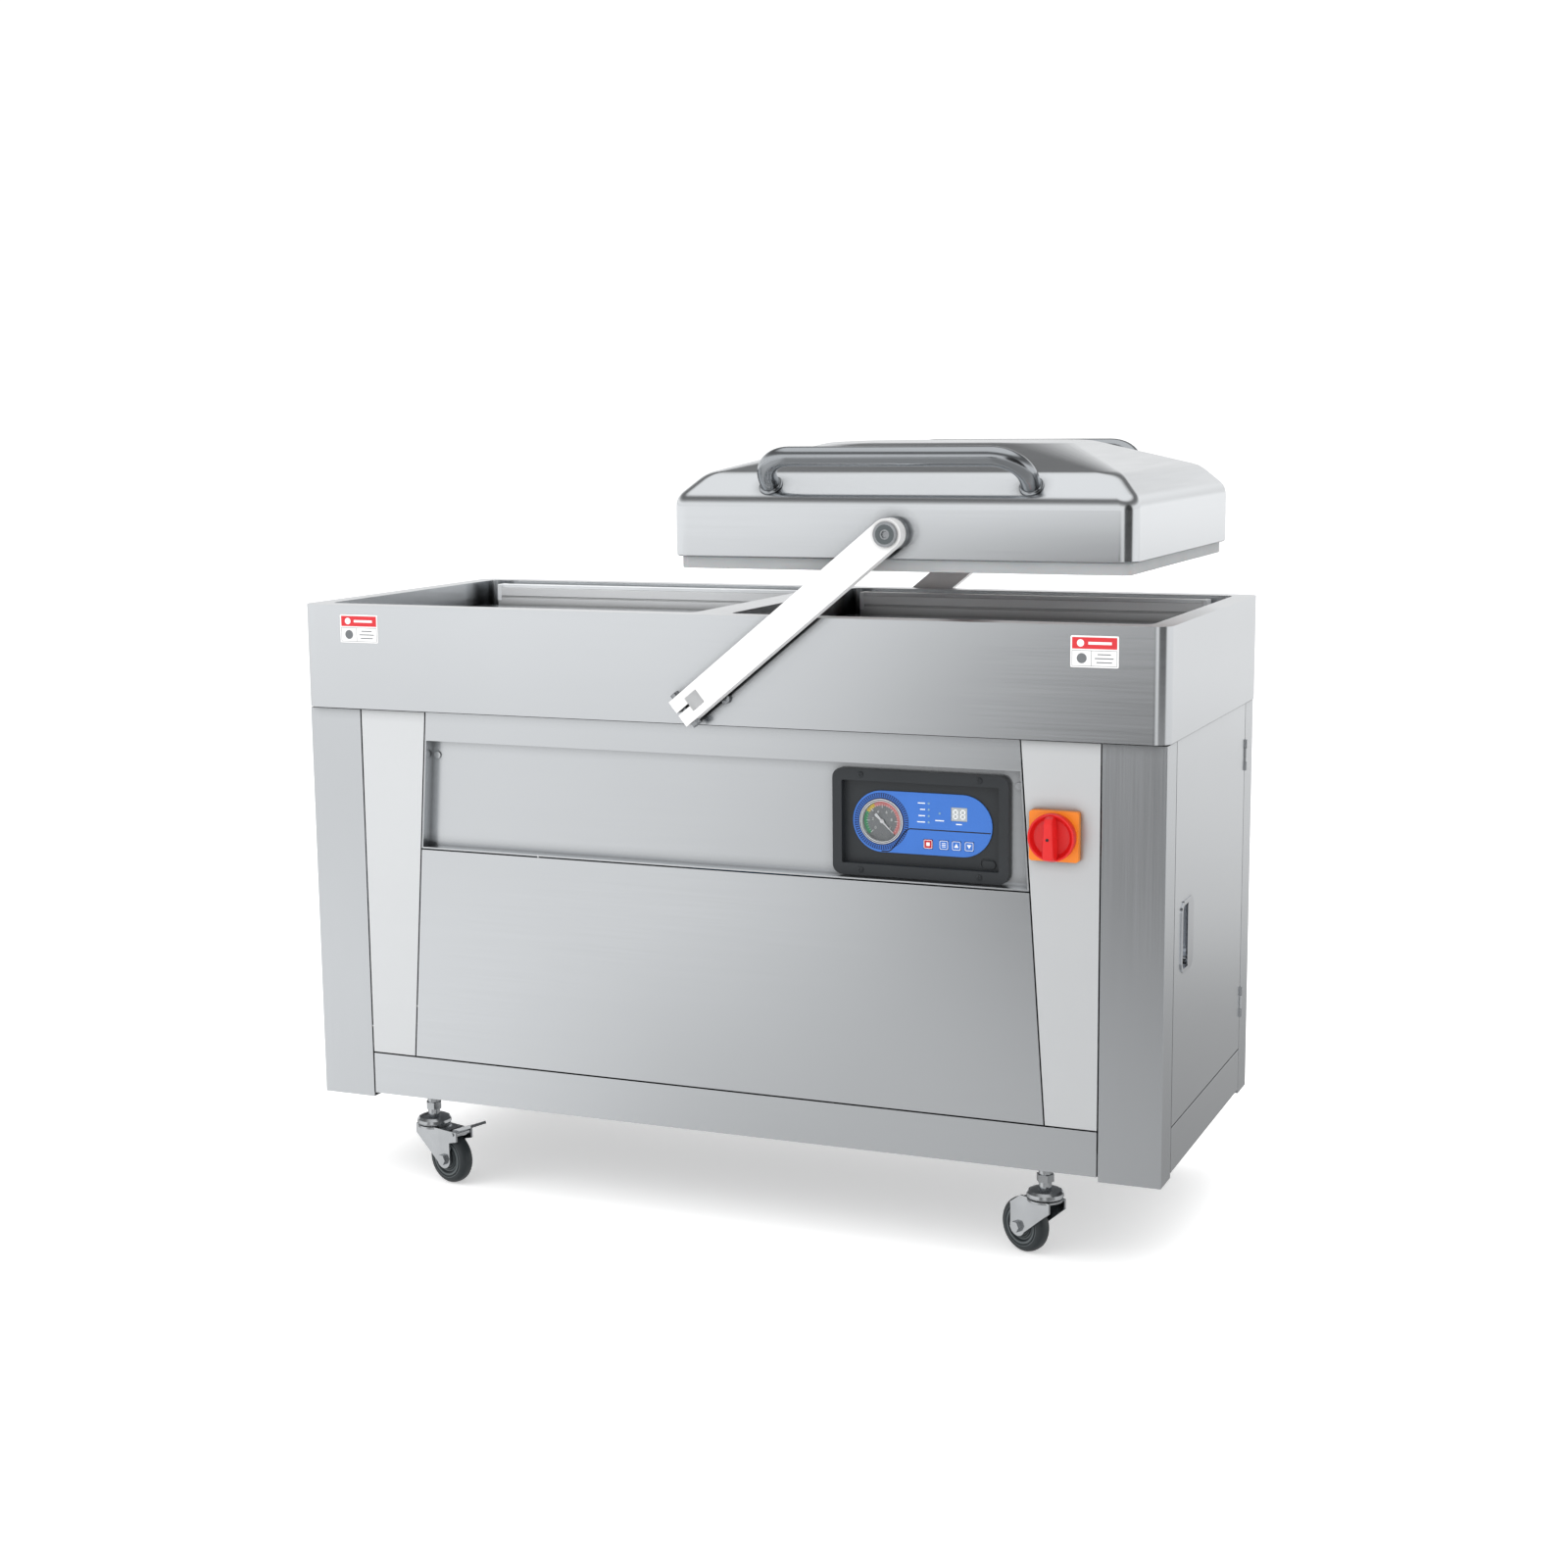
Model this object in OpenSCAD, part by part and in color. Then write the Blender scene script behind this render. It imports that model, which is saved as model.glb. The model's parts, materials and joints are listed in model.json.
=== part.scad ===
// Double-chamber vacuum packing machine with one swing-over lid, on casters.
// Millimetres. +Z is up, +X is to the operator's right, the operator stands at -Y.
// The origin is on the floor, under the centre of the machine.
// The lid is held up over the right-hand chamber, as it is while the left one is loaded.

/* [Overall size] */
// Width of the chamber tub, side to side
machine_w = 1260; // [1240:10:1300]
// Depth of the chamber tub, front to back
tub_d = 529; // [520:1:540]
// Height of the tub's rim above the floor
rim_z = 843; // [835:1:850]
// Height of the tub's outer skirt
tub_h = 147; // [140:1:155]
// How far the tub overhangs the cabinet's sides
side_overhang = 3; // [2:1:6]
// How far the tub overhangs the cabinet's front and back
front_overhang = 9; // [6:1:12]
// Underside of the corner posts above the floor
skirt_z = 123; // [118:1:126]

/* [Sheet metal] */
// Thickness of the cabinet sheets
sheet = 2; // [1.5:0.5:2.5]
// Width of the visible seams between the sheets
seam = 2; // [1:0.5:3]
// Depth of the recess in the front
recess_depth = 20; // [15:1:25]

/* [Chambers] */
// Width of the web between the two chambers
divider_w = 52; // [46:2:60]
// Width of the rim round the chambers
rim_w = 30; // [26:1:34]
// Depth of each chamber from the rim to its floor
chamber_depth = 90; // [80:1:92]
// Length of each sealing bar
bar_len = 524; // [500:2:530]
// Travel of a sealing bar when it presses
bar_travel = 6; // [3:1:8]

/* [Swing arms and lid] */
// Distance between the two pivots of an arm
arm_len = 349; // [340:1:350]
// Angle of the arms above the horizontal, as the lid stands now
arm_angle = 39.34; // [35:0.01:45]
// Width of an arm
arm_w = 40.4; // [36:0.2:44]
// Thickness of an arm
arm_t = 20; // [16:1:20]
// Width of the lid, side to side
lid_w = 630; // [600:2:636]
// Depth of the lid, front to back
lid_d = 524; // [510:2:530]
// Height of the lid's upright wall
lid_wall_h = 77; // [60:1:90]
// Thickness of the lid's shell
lid_t = 3; // [2:0.5:4]

/* [Controls] */
// Width of the black control bezel
bezel_w = 243; // [236:1:250]
// Height of the black control bezel
bezel_h = 142; // [136:1:146]
// Side of the switch's square plate
switch_side = 65; // [56:1:68]
// Diameter of the switch's knob
knob_d = 62; // [54:1:64]

/* [Casters] */
// Diameter of a caster wheel
wheel_d = 75; // [70:1:76]
// Width of a caster tyre
wheel_w = 22; // [18:1:24]
// Distance from the swivel axis to the wheel's axle
trail = 35; // [32:1:36]

/* [Hidden] */
$fn = 48;
eps = 0.01;
run = 0.05;                 // radial clearance of a running fit
slip = 0.02;                // gap between pieces that only touch

cab_w = machine_w - 2 * side_overhang;
cab_d = tub_d - 2 * front_overhang;
cab_x = cab_w / 2;
cab_y = cab_d / 2;
tub_x = machine_w / 2;
tub_y = tub_d / 2;
tub_z = rim_z - tub_h;      // underside of the tub
panel_top = tub_z - 2;

// Front layout
post_w = 84;
post_d = 50;
foot_w = 18;                // width of a post's folded foot
post_x = cab_x - post_w;    // inner edge of a post's front face
kick_z = 129;
kick_top = 189;
slant_top_x = 437;          // inner edge of a slanted panel at its top
slant_low_x = 472;          // and at its foot
recess_low = 498.5;
recess_top = 653.5;

// Frame inside the cabinet
frame_x = cab_x - sheet - 1;
frame_y = cab_y - sheet - 1;
tube = 30;
deck_z = kick_z + tube;
deck_t = 3;
deck_top = deck_z + deck_t;

// Chambers
well_x0 = divider_w / 2;
well_x1 = tub_x - rim_w;
well_y = tub_y - rim_w - 0.5;
well_w = well_x1 - well_x0;
well_cx = (well_x0 + well_x1) / 2;
floor_z = rim_z - chamber_depth;
tub_t = 3;
tub_r = 20;                 // corner radius of the tub
table_top = 807;
bar_x = 309;
bar_y = 208;
bar_w = 22;
bar_low = 786;
bar_top = 839;
port_x = 130;
port_r = 15;
pipe_z = 700;

// Swing mechanism
shaft_z = 732.5;
head_h = 5;                 // bearing screw heads
shaft_r = 14;
shaft_flat = 19.8;
arm_y = 275;                // inner face of an arm
arm_out = arm_y + arm_t;
pivot_x = arm_len * cos(arm_angle);
pivot_z = shaft_z + arm_len * sin(arm_angle);
pivot_r = 10;
arm_slot = 4;
arm_tail = 32;              // the arm's end beyond the shaft

// Lid
lid_x = lid_w / 2;
lid_y = lid_d / 2;
lid_z = pivot_z - 33.7;     // underside of the lid's wall
lid_bevel = 31;
lid_r = 22;
top_x = 170;
top_y = 120;
top_h = 38;
gasket_in = 8;
gasket_w = 12;
gasket_h = 16;
pad_gap = 2.6;              // left between raised bar and pad with the lid shut
pad_z = bar_top + bar_travel + pad_gap + lid_z - gasket_h - rim_z;
pad_hang = lid_z + lid_wall_h + lid_bevel - pad_z - 18 + 3.4;
grip_r = 12.75;
grip_span = 177;
grip_rise = 55;
grip_bend = 42;

// Controls
recess_y = -cab_y + recess_depth;
bezel_cx = 296.5;
bezel_cz = 573;
bezel_t = 8;
window_w = 217;
window_h = 111;
panel_y = recess_y + 3.5;   // front face of the control housing
gauge_x = 240.5;
gauge_z = 574;
gauge_r = 30;
panel_x = 297;
panel_l = 192.7;
panel_h = 82;
button_xs = [305.7, 327.4, 344.7, 362.2];
button_z = 547.6;
button_s = 12;
display_x = 348;
display_z = 589;
lamp_x = 306.4;
lamp_zs = [601.5, 593.2, 584.8, 576.5];
switch_x = 484.5;
switch_z = 574;
switch_t = 10;
label_x = 535;
label_z = 810;

// Casters: place of the swivel axis and heading of the wheel
caster_x = 464.4;
caster_y = 222;
axle_z = wheel_d / 2;
axle_r = 5;
fork_in = wheel_w / 2 + 2.5;
fork_t = 3;
fork_top = 82;
cap_top = 97;
plate_t = 6;                // caster plates in the base frame
stem_r = 6;
heading_fl = -17;
heading_fr = 153;
heading_rl = 160;
heading_rr = -25;
pedal_t = 56;               // the pedal's pivot from the swivel axis
pedal_z = 82;

// Mains inlet
gland_x = 430;
gland_z = 240;

// Door
door_gap = 1.5;             // between the door and the posts
door_y = cab_y - post_d - door_gap;
door_low = kick_top + seam;
pull_y = -138;
pull_z = 432;
pull_w = 64;
pull_h = 94;
hinge_zs = [260, 620];
hinge_x = cab_x;
hinge_y = door_y + 2;

// ---- shared shapes ----

module both_x() {
  children();
  mirror([1, 0, 0]) children();
}

module both_y() {
  children();
  mirror([0, 1, 0]) children();
}

// A centred rectangle with true round corners
module rounded_rect(w, d, r) {
  square([w - 2 * r, d], center = true);
  square([w, d - 2 * r], center = true);
  for (x = [-1, 1], y = [-1, 1])
    translate([x * (w / 2 - r), y * (d / 2 - r)]) circle(r = r);
}

module rounded_block(w, d, h, r) {
  linear_extrude(height = h) rounded_rect(w, d, r);
}

// An upright sheet facing the front: a drawing in X and Z, from y to y + t
module front_sheet(y, t) {
  translate([0, y + t, 0]) rotate([90, 0, 0]) linear_extrude(height = t) children();
}

// A rod along Y, from y0 to y1
module rod_y(x, z, r, y0, y1) {
  translate([x, y0, z]) rotate([-90, 0, 0]) cylinder(r = r, h = y1 - y0);
}

module box(x0, x1, y0, y1, z0, z1) {
  translate([x0, y0, z0]) cube([x1 - x0, y1 - y0, z1 - z0]);
}

// Inner edge of a slanted panel at height z
function slant_x(z) = slant_top_x + (slant_low_x - slant_top_x) * (panel_top - z)
  / (panel_top - kick_top - seam);

// ---- cabinet ----

// A ring of channel section, open to the inside
module channel_ring(z) {
  translate([0, 0, z]) difference() {
    rounded_block(2 * frame_x, 2 * frame_y, tube, 3);
    translate([0, 0, -1])
      rounded_block(2 * (frame_x - tube), 2 * (frame_y - tube), tube + 2, 1);
    translate([0, 0, 2]) rounded_block(2 * frame_x - 4, 2 * frame_y - 4, tube - 4, 1);
  }
}

module base_frame() {
  color("dimgray") {
    difference() {
      union() {
        channel_ring(kick_z);
        // caster plates
        for (x = [-1, 1], y = [-1, 1])
          translate([x * caster_x, y * (caster_y - 6), kick_z]) rounded_block(74, 60, plate_t, 5);
      }
      for (x = [-1, 1], y = [-1, 1])
        translate([x * caster_x, y * caster_y, kick_z - 2])
          cylinder(r = stem_r + 0.2, h = plate_t + 4);
    }
    channel_ring(tub_z - slip - tube);
    // angle uprights in the four corners
    for (i = [0, 1], j = [0, 1])
      mirror([i, 0, 0]) mirror([0, j, 0]) {
        box(frame_x - 3, frame_x, frame_y - tube, frame_y, kick_z + 2, tub_z - 2);
        box(frame_x - tube, frame_x, frame_y - 3, frame_y, kick_z + 2, tub_z - 2);
      }
    // deck that carries the pump
    translate([0, 0, deck_z - eps])
      rounded_block(2 * frame_x - 8, 2 * frame_y - 8, deck_t, 2);
  }
}

module corner_posts() {
  color("lightsteelblue")
    difference() {
      four_posts();
      // room for the moving knuckles of the door
      for (z = hinge_zs) translate([hinge_x, hinge_y, z])
        cylinder(r = 3.6, h = 21, center = true);
    }
}

// Angle-shaped corner posts with folded feet
module four_posts() {
  for (i = [0, 1], j = [0, 1])
    mirror([i, 0, 0]) mirror([0, j, 0]) {
      box(post_x + seam / 2, cab_x, cab_y - sheet, cab_y, skirt_z, panel_top);
      box(cab_x - sheet, cab_x, cab_y - post_d, cab_y, skirt_z, panel_top);
      box(post_x + seam / 2, cab_x, cab_y - foot_w, cab_y, skirt_z, skirt_z + sheet);
      box(cab_x - foot_w, cab_x, cab_y - post_d, cab_y, skirt_z, skirt_z + sheet);
    }
}

module kick_panels() {
  color("silver") {
    both_y() box(-post_x + seam / 2, post_x - seam / 2, cab_y - sheet, cab_y, kick_z,
      kick_top);
    both_x() box(cab_x - sheet, cab_x, -cab_y + post_d + seam, cab_y - post_d - seam, kick_z,
      kick_top);
  }
}

module slant_panels() {
  color("whitesmoke")
    difference() {
      both_x() front_sheet(-cab_y, sheet)
        polygon([
          [slant_x(panel_top) + seam / 2, panel_top],
          [post_x - seam / 2, panel_top],
          [post_x - seam / 2, kick_top + seam],
          [slant_x(kick_top + seam) + seam / 2, kick_top + seam]]);
      rod_y(switch_x, switch_z, 14, -cab_y - 1, -cab_y + sheet + 1);
    }
}

// The band over the recess and the recess are one folded sheet
module recess_panel() {
  color("gainsboro")
    difference() {
      union() {
        front_sheet(-cab_y, recess_depth)
          polygon([
            [-slant_x(panel_top) + seam / 2, panel_top],
            [slant_x(panel_top) - seam / 2, panel_top],
            [slant_x(recess_low) - seam / 2, recess_low],
            [-slant_x(recess_low) + seam / 2, recess_low]]);
        front_sheet(recess_y - eps, sheet)
          polygon([
            [-slant_x(panel_top) + seam / 2, panel_top],
            [slant_x(panel_top) - seam / 2, panel_top],
            [slant_x(recess_low) - seam / 2, recess_low],
            [-slant_x(recess_low) + seam / 2, recess_low]]);
      }
      // the open recess
      front_sheet(-cab_y - 1, recess_depth + 1)
        polygon([
          [-slant_x(recess_top) + seam / 2 + sheet, recess_top],
          [slant_x(recess_top) - seam / 2 - sheet, recess_top],
          [slant_x(recess_low) - seam / 2 - sheet, recess_low + sheet],
          [-slant_x(recess_low) + seam / 2 + sheet, recess_low + sheet]]);
      // the hollow behind the band
      front_sheet(-cab_y + sheet, recess_depth + 2 * sheet)
        polygon([
          [-post_x, panel_top + 1],
          [post_x, panel_top + 1],
          [post_x, recess_top + sheet],
          [-post_x, recess_top + sheet]]);
      // cut-out for the control housing
      translate([bezel_cx, 0, bezel_cz]) front_sheet(recess_y - 1, sheet + 2)
        square([window_w + 9, window_h + 9], center = true);
      for (x = [-1, 1]) rod_y(x * 430, 631, 2, recess_y - 1, recess_y + sheet + 1);
    }
  // corner screws of the recess
  color("silver")
    for (x = [-1, 1]) {
      rod_y(x * 430, 631, 5, recess_y - 2.2, recess_y);
      rod_y(x * 430, 631, 1.9, recess_y - 1, recess_y + 8);
    }
}

module front_panel() {
  color("silver")
    front_sheet(-cab_y, sheet)
      polygon([
        [-slant_x(recess_low - seam) + seam / 2, recess_low - seam],
        [slant_x(recess_low - seam) - seam / 2, recess_low - seam],
        [slant_x(kick_top + seam) - seam / 2, kick_top + seam],
        [-slant_x(kick_top + seam) + seam / 2, kick_top + seam]]);
}

module rear_panel() {
  color("silver")
    difference() {
      box(-post_x + seam / 2, post_x - seam / 2, cab_y - sheet, cab_y, kick_top + seam,
        panel_top);
      // cooling slots in front of the pump
      for (x = [-330, -230, -130], k = [0:9])
        translate([x, cab_y, 300 + 16 * k]) rotate([90, 0, 0])
          linear_extrude(height = 12, center = true) rounded_rect(76, 6, 3);
      rod_y(gland_x, gland_z, 10.2, cab_y - 12, cab_y + 12);
    }
}

module side_panel_left() {
  color("silver")
    box(-cab_x, -cab_x + sheet, -door_y, door_y, door_low, panel_top);
}

// ---- service door on the right ----

module door_right() {
  color("silver")
    difference() {
      union() {
        box(cab_x - sheet, cab_x, -door_y, door_y - 1, door_low, panel_top);
        // folded edges
        box(cab_x - 14, cab_x - eps, -door_y, -door_y + sheet, door_low + 3, panel_top - 36);
        box(cab_x - 14, cab_x - eps, door_y - 1 - sheet, door_y - 1, door_low + 3,
          panel_top - 36);
      }
      translate([cab_x, pull_y, pull_z]) rotate([0, 90, 0])
        linear_extrude(height = 20, center = true)
          rounded_rect(pull_h - 6, pull_w - 6, 11);
      for (z = hinge_zs) translate([hinge_x, hinge_y, z - 16])
        cylinder(r = 3.4, h = 32);
    }
  // knuckles on the door, at the middle of each hinge
  color("gray")
    for (z = hinge_zs)
      translate([hinge_x, hinge_y, z - 9.8]) difference() {
        union() {
          cylinder(r = 3, h = 19.6);
          box(-sheet, 0, -8, 0, 0, 19.6);
        }
        translate([0, 0, -1]) cylinder(r = 1.5 + run, h = 22);
      }
}

// Fixed knuckles and pins, held by the rear right post
module door_hinges() {
  color("gray")
    for (z = hinge_zs) {
      translate([hinge_x, hinge_y, z]) {
        cylinder(r = 1.5, h = 44, center = true);
        for (s = [-1, 1])
          translate([0, 0, s * 16]) difference() {
            union() {
              cylinder(r = 3, h = 12, center = true);
              box(-3, 0, 0, 3.4, -6, 6);
            }
            cylinder(r = 1.5 - slip, h = 14, center = true);
          }
      }
    }
}

// Flush pull: a chromed tray with a finger well behind its front lip
module door_pull() {
  color("silver")
    translate([cab_x, pull_y, pull_z]) rotate([0, 90, 0]) {
      difference() {
        union() {
          linear_extrude(height = 2) rounded_rect(pull_h, pull_w, 14);
          translate([0, 0, -14]) rounded_block(pull_h - 7, pull_w - 7, 14 + eps, 10.5);
        }
        translate([0, 0, -12.5]) rounded_block(pull_h - 10, pull_w - 10, 20, 9);
      }
      // half cover over the finger well
      translate([0, 13.5, 0]) rounded_block(pull_h - 10, 27 + eps, 2, 4);
    }
}

// ---- chamber tub ----

module tub() {
  color("silver")
    difference() {
      union() {
        // skirt and rim
        difference() {
          translate([0, 0, tub_z]) rounded_block(machine_w, tub_d, tub_h, tub_r);
          translate([0, 0, tub_z - 1])
            rounded_block(machine_w - 5, tub_d - 5, tub_h - 2, tub_r - 2.5);
        }
        // return flange at the foot of the skirt
        difference() {
          translate([0, 0, tub_z]) rounded_block(machine_w - 2, tub_d - 2, 2.5, tub_r - 1);
          translate([0, 0, tub_z - 1])
            rounded_block(2 * frame_x - 40, 2 * frame_y - 40, 5, 4);
        }
        // the outsides of the two pans
        both_x() translate([well_cx, 0, floor_z - tub_t])
          rounded_block(well_w + 2 * tub_t, 2 * (well_y + tub_t), chamber_depth + tub_t - 1,
            12 + tub_t);
      }
      both_x() translate([well_cx, 0, floor_z])
        rounded_block(well_w, 2 * well_y, chamber_depth + 2, 12);
      both_x() translate([port_x, 0, floor_z - 8]) cylinder(r = port_r, h = 16);
      both_y() {
        rod_y(0, shaft_z, shaft_r + 2, tub_y - 8, tub_y + 1);
        for (x = [-1, 1]) rod_y(x * 33, shaft_z, 3.2, tub_y - 8, tub_y + 1);
      }
    }
}

module rim_labels() {
  color("white")
    for (x = [-1, 1])
      translate([x * label_x, -tub_y, label_z]) rotate([90, 0, 0])
        rounded_block(62, 40, 0.4, 2);
}

// Raised plates that the bags lie on, one in each chamber
module table_plates() {
  color("gainsboro")
    both_x() {
      difference() {
        translate([well_cx, 0, table_top - 3]) rounded_block(well_w - 10, 2 * 192, 3, 6);
        for (x = [-200, 200], y = [-120, 120])
          translate([well_cx + x, y, table_top - 4]) cylinder(r = 12, h = 6);
      }
      // folded front and rear edges
      both_y() box(well_x0 + 12, well_x1 - 12, 189, 192, floor_z + 12, table_top - 2);
      // legs
      for (x = [-250, 250], y = [-150, 150])
        translate([well_cx + x, y, floor_z + eps]) cylinder(r = 8, h = table_top - floor_z - 2);
    }
}

// A sealing bar with its heated strip, two guide pins and end caps
module sealing_bar(side, end) {
  translate([side * bar_x, end * bar_y, 0]) {
    color("silver")
      difference() {
        box(-bar_len / 2, bar_len / 2, -bar_w / 2, bar_w / 2, bar_low, bar_top - 5);
        // grooves along both faces of the extrusion
        for (y = [-1, 1], z = [bar_low + 14, bar_low + 34])
          translate([0, y * bar_w / 2, z]) cube([bar_len + 2, 3, 3], center = true);
      }
    color("gainsboro")
      box(-bar_len / 2 + 4, bar_len / 2 - 4, -7, 7, bar_top - 5 + slip, bar_top);
    color("silver")
      for (x = [-1, 1])
        translate([x * 200, 0, floor_z + 8]) cylinder(r = 6, h = bar_low - floor_z - 8 + eps);
  }
}

module bar_left_front() { sealing_bar(-1, -1); }
module bar_left_rear() { sealing_bar(-1, 1); }
module bar_right_front() { sealing_bar(1, -1); }
module bar_right_rear() { sealing_bar(1, 1); }

// Guide bushes of the sealing bars, on the chamber floors
module bar_guides() {
  color("dimgray")
    for (s = [-1, 1], e = [-1, 1], x = [-200, 200])
      translate([s * bar_x + x, e * bar_y, floor_z + slip]) difference() {
        union() {
          cylinder(r = 13, h = bar_low - floor_z - 1);
          rounded_block(40, 26, 5, 5);
        }
        translate([0, 0, 3]) cylinder(r = 6 + run, h = 60);
      }
}

// ---- swing shaft and arms ----

module swing_shaft() {
  color("gray") {
    rod_y(0, shaft_z, shaft_r, -(arm_y - 1.5), arm_y - 1.5);
    both_y() translate([0, arm_y - 2, shaft_z]) rotate([0, -arm_angle, 0])
      translate([0, arm_t / 2 + 1, 0]) cube([shaft_flat, arm_t + 3, shaft_flat], center = true);
  }
}

// Flanged bearings behind the tub's front and rear skirt
module shaft_bearings() {
  color("darkgray")
    both_y() difference() {
      union() {
        rod_y(0, shaft_z, 15.6, tub_y - 40, tub_y - 1);
        translate([0, tub_y - 8.6, shaft_z]) rotate([-90, 0, 0])
          linear_extrude(height = 6) rounded_rect(92, 30, 14);
        for (x = [-1, 1]) {
          rod_y(x * 33, shaft_z, 3, tub_y - 9, tub_y + 1);
          rod_y(x * 33, shaft_z, 6.5, tub_y + slip, tub_y + head_h);
        }
      }
      rod_y(0, shaft_z, shaft_r + run, tub_y - 60, tub_y + 10);
      for (x = [-1, 1]) translate([x * 33, tub_y + head_h, shaft_z]) rotate([90, 0, 0])
        cylinder(r = 2.9, h = 5, center = true, $fn = 6);
    }
}

// Front arm in its own plane, from the shaft to the lid's pivot
module arm_blank() {
  translate([0, -arm_y, shaft_z]) rotate([0, -arm_angle, 0]) rotate([90, 0, 0])
    linear_extrude(height = arm_t) difference() {
      union() {
        translate([-arm_tail, -arm_w / 2]) square([arm_tail + arm_len, arm_w]);
        translate([arm_len, 0]) circle(r = arm_w / 2);
      }
      square([shaft_flat + 0.2, shaft_flat + 0.2], center = true);
      translate([-arm_tail - 1, -arm_slot / 2]) square([arm_tail + 1, arm_slot]);
      translate([arm_len, 0]) circle(r = pivot_r + run);
    }
}

// Bore for the clamp screw across the split end
module clamp_bore() {
  translate([0, -arm_y - arm_t / 2, shaft_z]) rotate([0, -arm_angle, 0])
    translate([-22, 0, 0]) cylinder(r = 4.2, h = arm_w + 20, center = true);
}

module arm_front() {
  color("white") difference() {
    arm_blank();
    clamp_bore();
  }
}

module arm_rear() {
  color("white") mirror([0, 1, 0]) difference() {
    arm_blank();
    clamp_bore();
  }
}

// Clamp screws across the split ends of the arms
module arm_screws() {
  color("silver")
    both_y() translate([0, -arm_y - arm_t / 2, shaft_z]) rotate([0, -arm_angle, 0])
      translate([-22, 0, 0]) difference() {
        union() {
          cylinder(r = 4, h = arm_w + 6, center = true);
          translate([0, 0, arm_w / 2 + slip]) cylinder(r = 6.5, h = 6);
          translate([0, 0, -arm_w / 2 - 6 - slip]) cylinder(r = 7, h = 6, $fn = 6);
        }
        translate([0, 0, arm_w / 2 + 3]) cylinder(r = 2.9, h = 6, $fn = 6);
      }
}

// ---- lid ----

// The lid's outside shrunk by t on every side
module lid_form(t) {
  w = lid_w - 2 * t;
  d = lid_d - 2 * t;
  r = lid_r - t;
  wall_top = lid_z + lid_wall_h - t * 0.4;
  bevel_top = lid_z + lid_wall_h + lid_bevel - t * 0.75;
  crown = lid_z + lid_wall_h + lid_bevel + top_h - t;
  shrink = 2 * lid_bevel - t * 0.6;
  translate([pivot_x, 0, 0]) {
    translate([0, 0, lid_z]) rounded_block(w, d, wall_top - lid_z, r);
    hull($fn = 32) {
      translate([0, 0, wall_top - 0.1]) rounded_block(w, d, 0.1, r, $fn = 32);
      translate([0, 0, bevel_top - 0.1])
        rounded_block(w - shrink, d - shrink, 0.1, r, $fn = 32);
    }
    hull($fn = 32) {
      translate([0, 0, bevel_top - 0.1])
        rounded_block(w - shrink, d - shrink, 0.1, r, $fn = 32);
      translate([0, 0, crown - 0.1]) rounded_block(2 * top_x, 2 * top_y, 0.1, r, $fn = 32);
    }
  }
}

module lid_shell() {
  color("silver")
    difference() {
      lid_form(0);
      intersection() {
        lid_form(lid_t);
        translate([pivot_x, 0, lid_z + 3]) rounded_block(lid_w, lid_d, 400, 4);
      }
      // mouth inside the return flange that carries the gasket
      translate([pivot_x, 0, lid_z - 1])
        rounded_block(lid_w - 2 * 22, lid_d - 2 * 22, 6, 8);
      both_y() rod_y(pivot_x, pivot_z, pivot_r + slip, lid_y - 8, lid_y + 1);
    }
}

module lid_gasket() {
  color("whitesmoke")
    translate([pivot_x, 0, lid_z - gasket_h]) difference() {
      rounded_block(lid_w - 2 * gasket_in, lid_d - 2 * gasket_in, gasket_h - slip, 14);
      translate([0, 0, -1])
        rounded_block(lid_w - 2 * (gasket_in + gasket_w), lid_d - 2 * (gasket_in + gasket_w),
          gasket_h + 2, 6);
    }
}

// One tube handle in its own plane: feet at z = 0, grip at z = grip_rise
module grip() {
  leg = grip_rise - grip_bend;
  both_x() {
    translate([grip_span, 0, -1.5]) cylinder(r = grip_r, h = leg + 1.5 + eps);
    translate([grip_span, 0, 0.4]) cylinder(r = grip_r + 3, h = 2.6);
    translate([grip_span - grip_bend, 0, leg]) rotate([90, 0, 0])
      rotate_extrude(angle = 90) translate([grip_bend, 0]) circle(r = grip_r);
  }
  translate([0, 0, grip_rise]) rotate([0, 90, 0])
    cylinder(r = grip_r, h = 2 * (grip_span - grip_bend) + eps, center = true);
}

module lid_handles() {
  color("slategray")
    both_y() translate([pivot_x, -lid_y + lid_bevel / 2, lid_z + lid_wall_h + lid_bevel / 2])
      rotate([45, 0, 0]) grip();
}

// Pivot pins of the lid with their bosses, spacers and end caps
module pivot_pins() {
  color("dimgray")
    both_y() difference() {
      union() {
        rod_y(pivot_x, pivot_z, pivot_r, lid_y - 6, arm_out + 0.4);
        rod_y(pivot_x, pivot_z, 21, lid_y + slip, arm_y - 0.4);
        rod_y(pivot_x, pivot_z, 24, lid_y - lid_t - 6, lid_y - lid_t - slip);
        rod_y(pivot_x, pivot_z, 16, arm_out + 0.4, arm_out + 4);
      }
      translate([pivot_x, arm_out + 4, pivot_z]) rotate([90, 0, 0])
        cylinder(r = 4.6, h = 5, center = true, $fn = 6);
    }
}

// Silicone strips that meet the sealing bars, on holders hung inside the lid
module press_pads() {
  both_y() translate([pivot_x, bar_y, pad_z]) {
    color("indianred") box(-bar_len / 2, bar_len / 2, -10, 10, 0, 8);
    color("silver") {
      box(-bar_len / 2, bar_len / 2, -13, 13, 8 + slip, 20);
      for (x = [-180, -60, 60, 180])
        translate([x, 0, 18]) cylinder(r = 6, h = pad_hang);
    }
  }
}

// ---- controls ----

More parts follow.
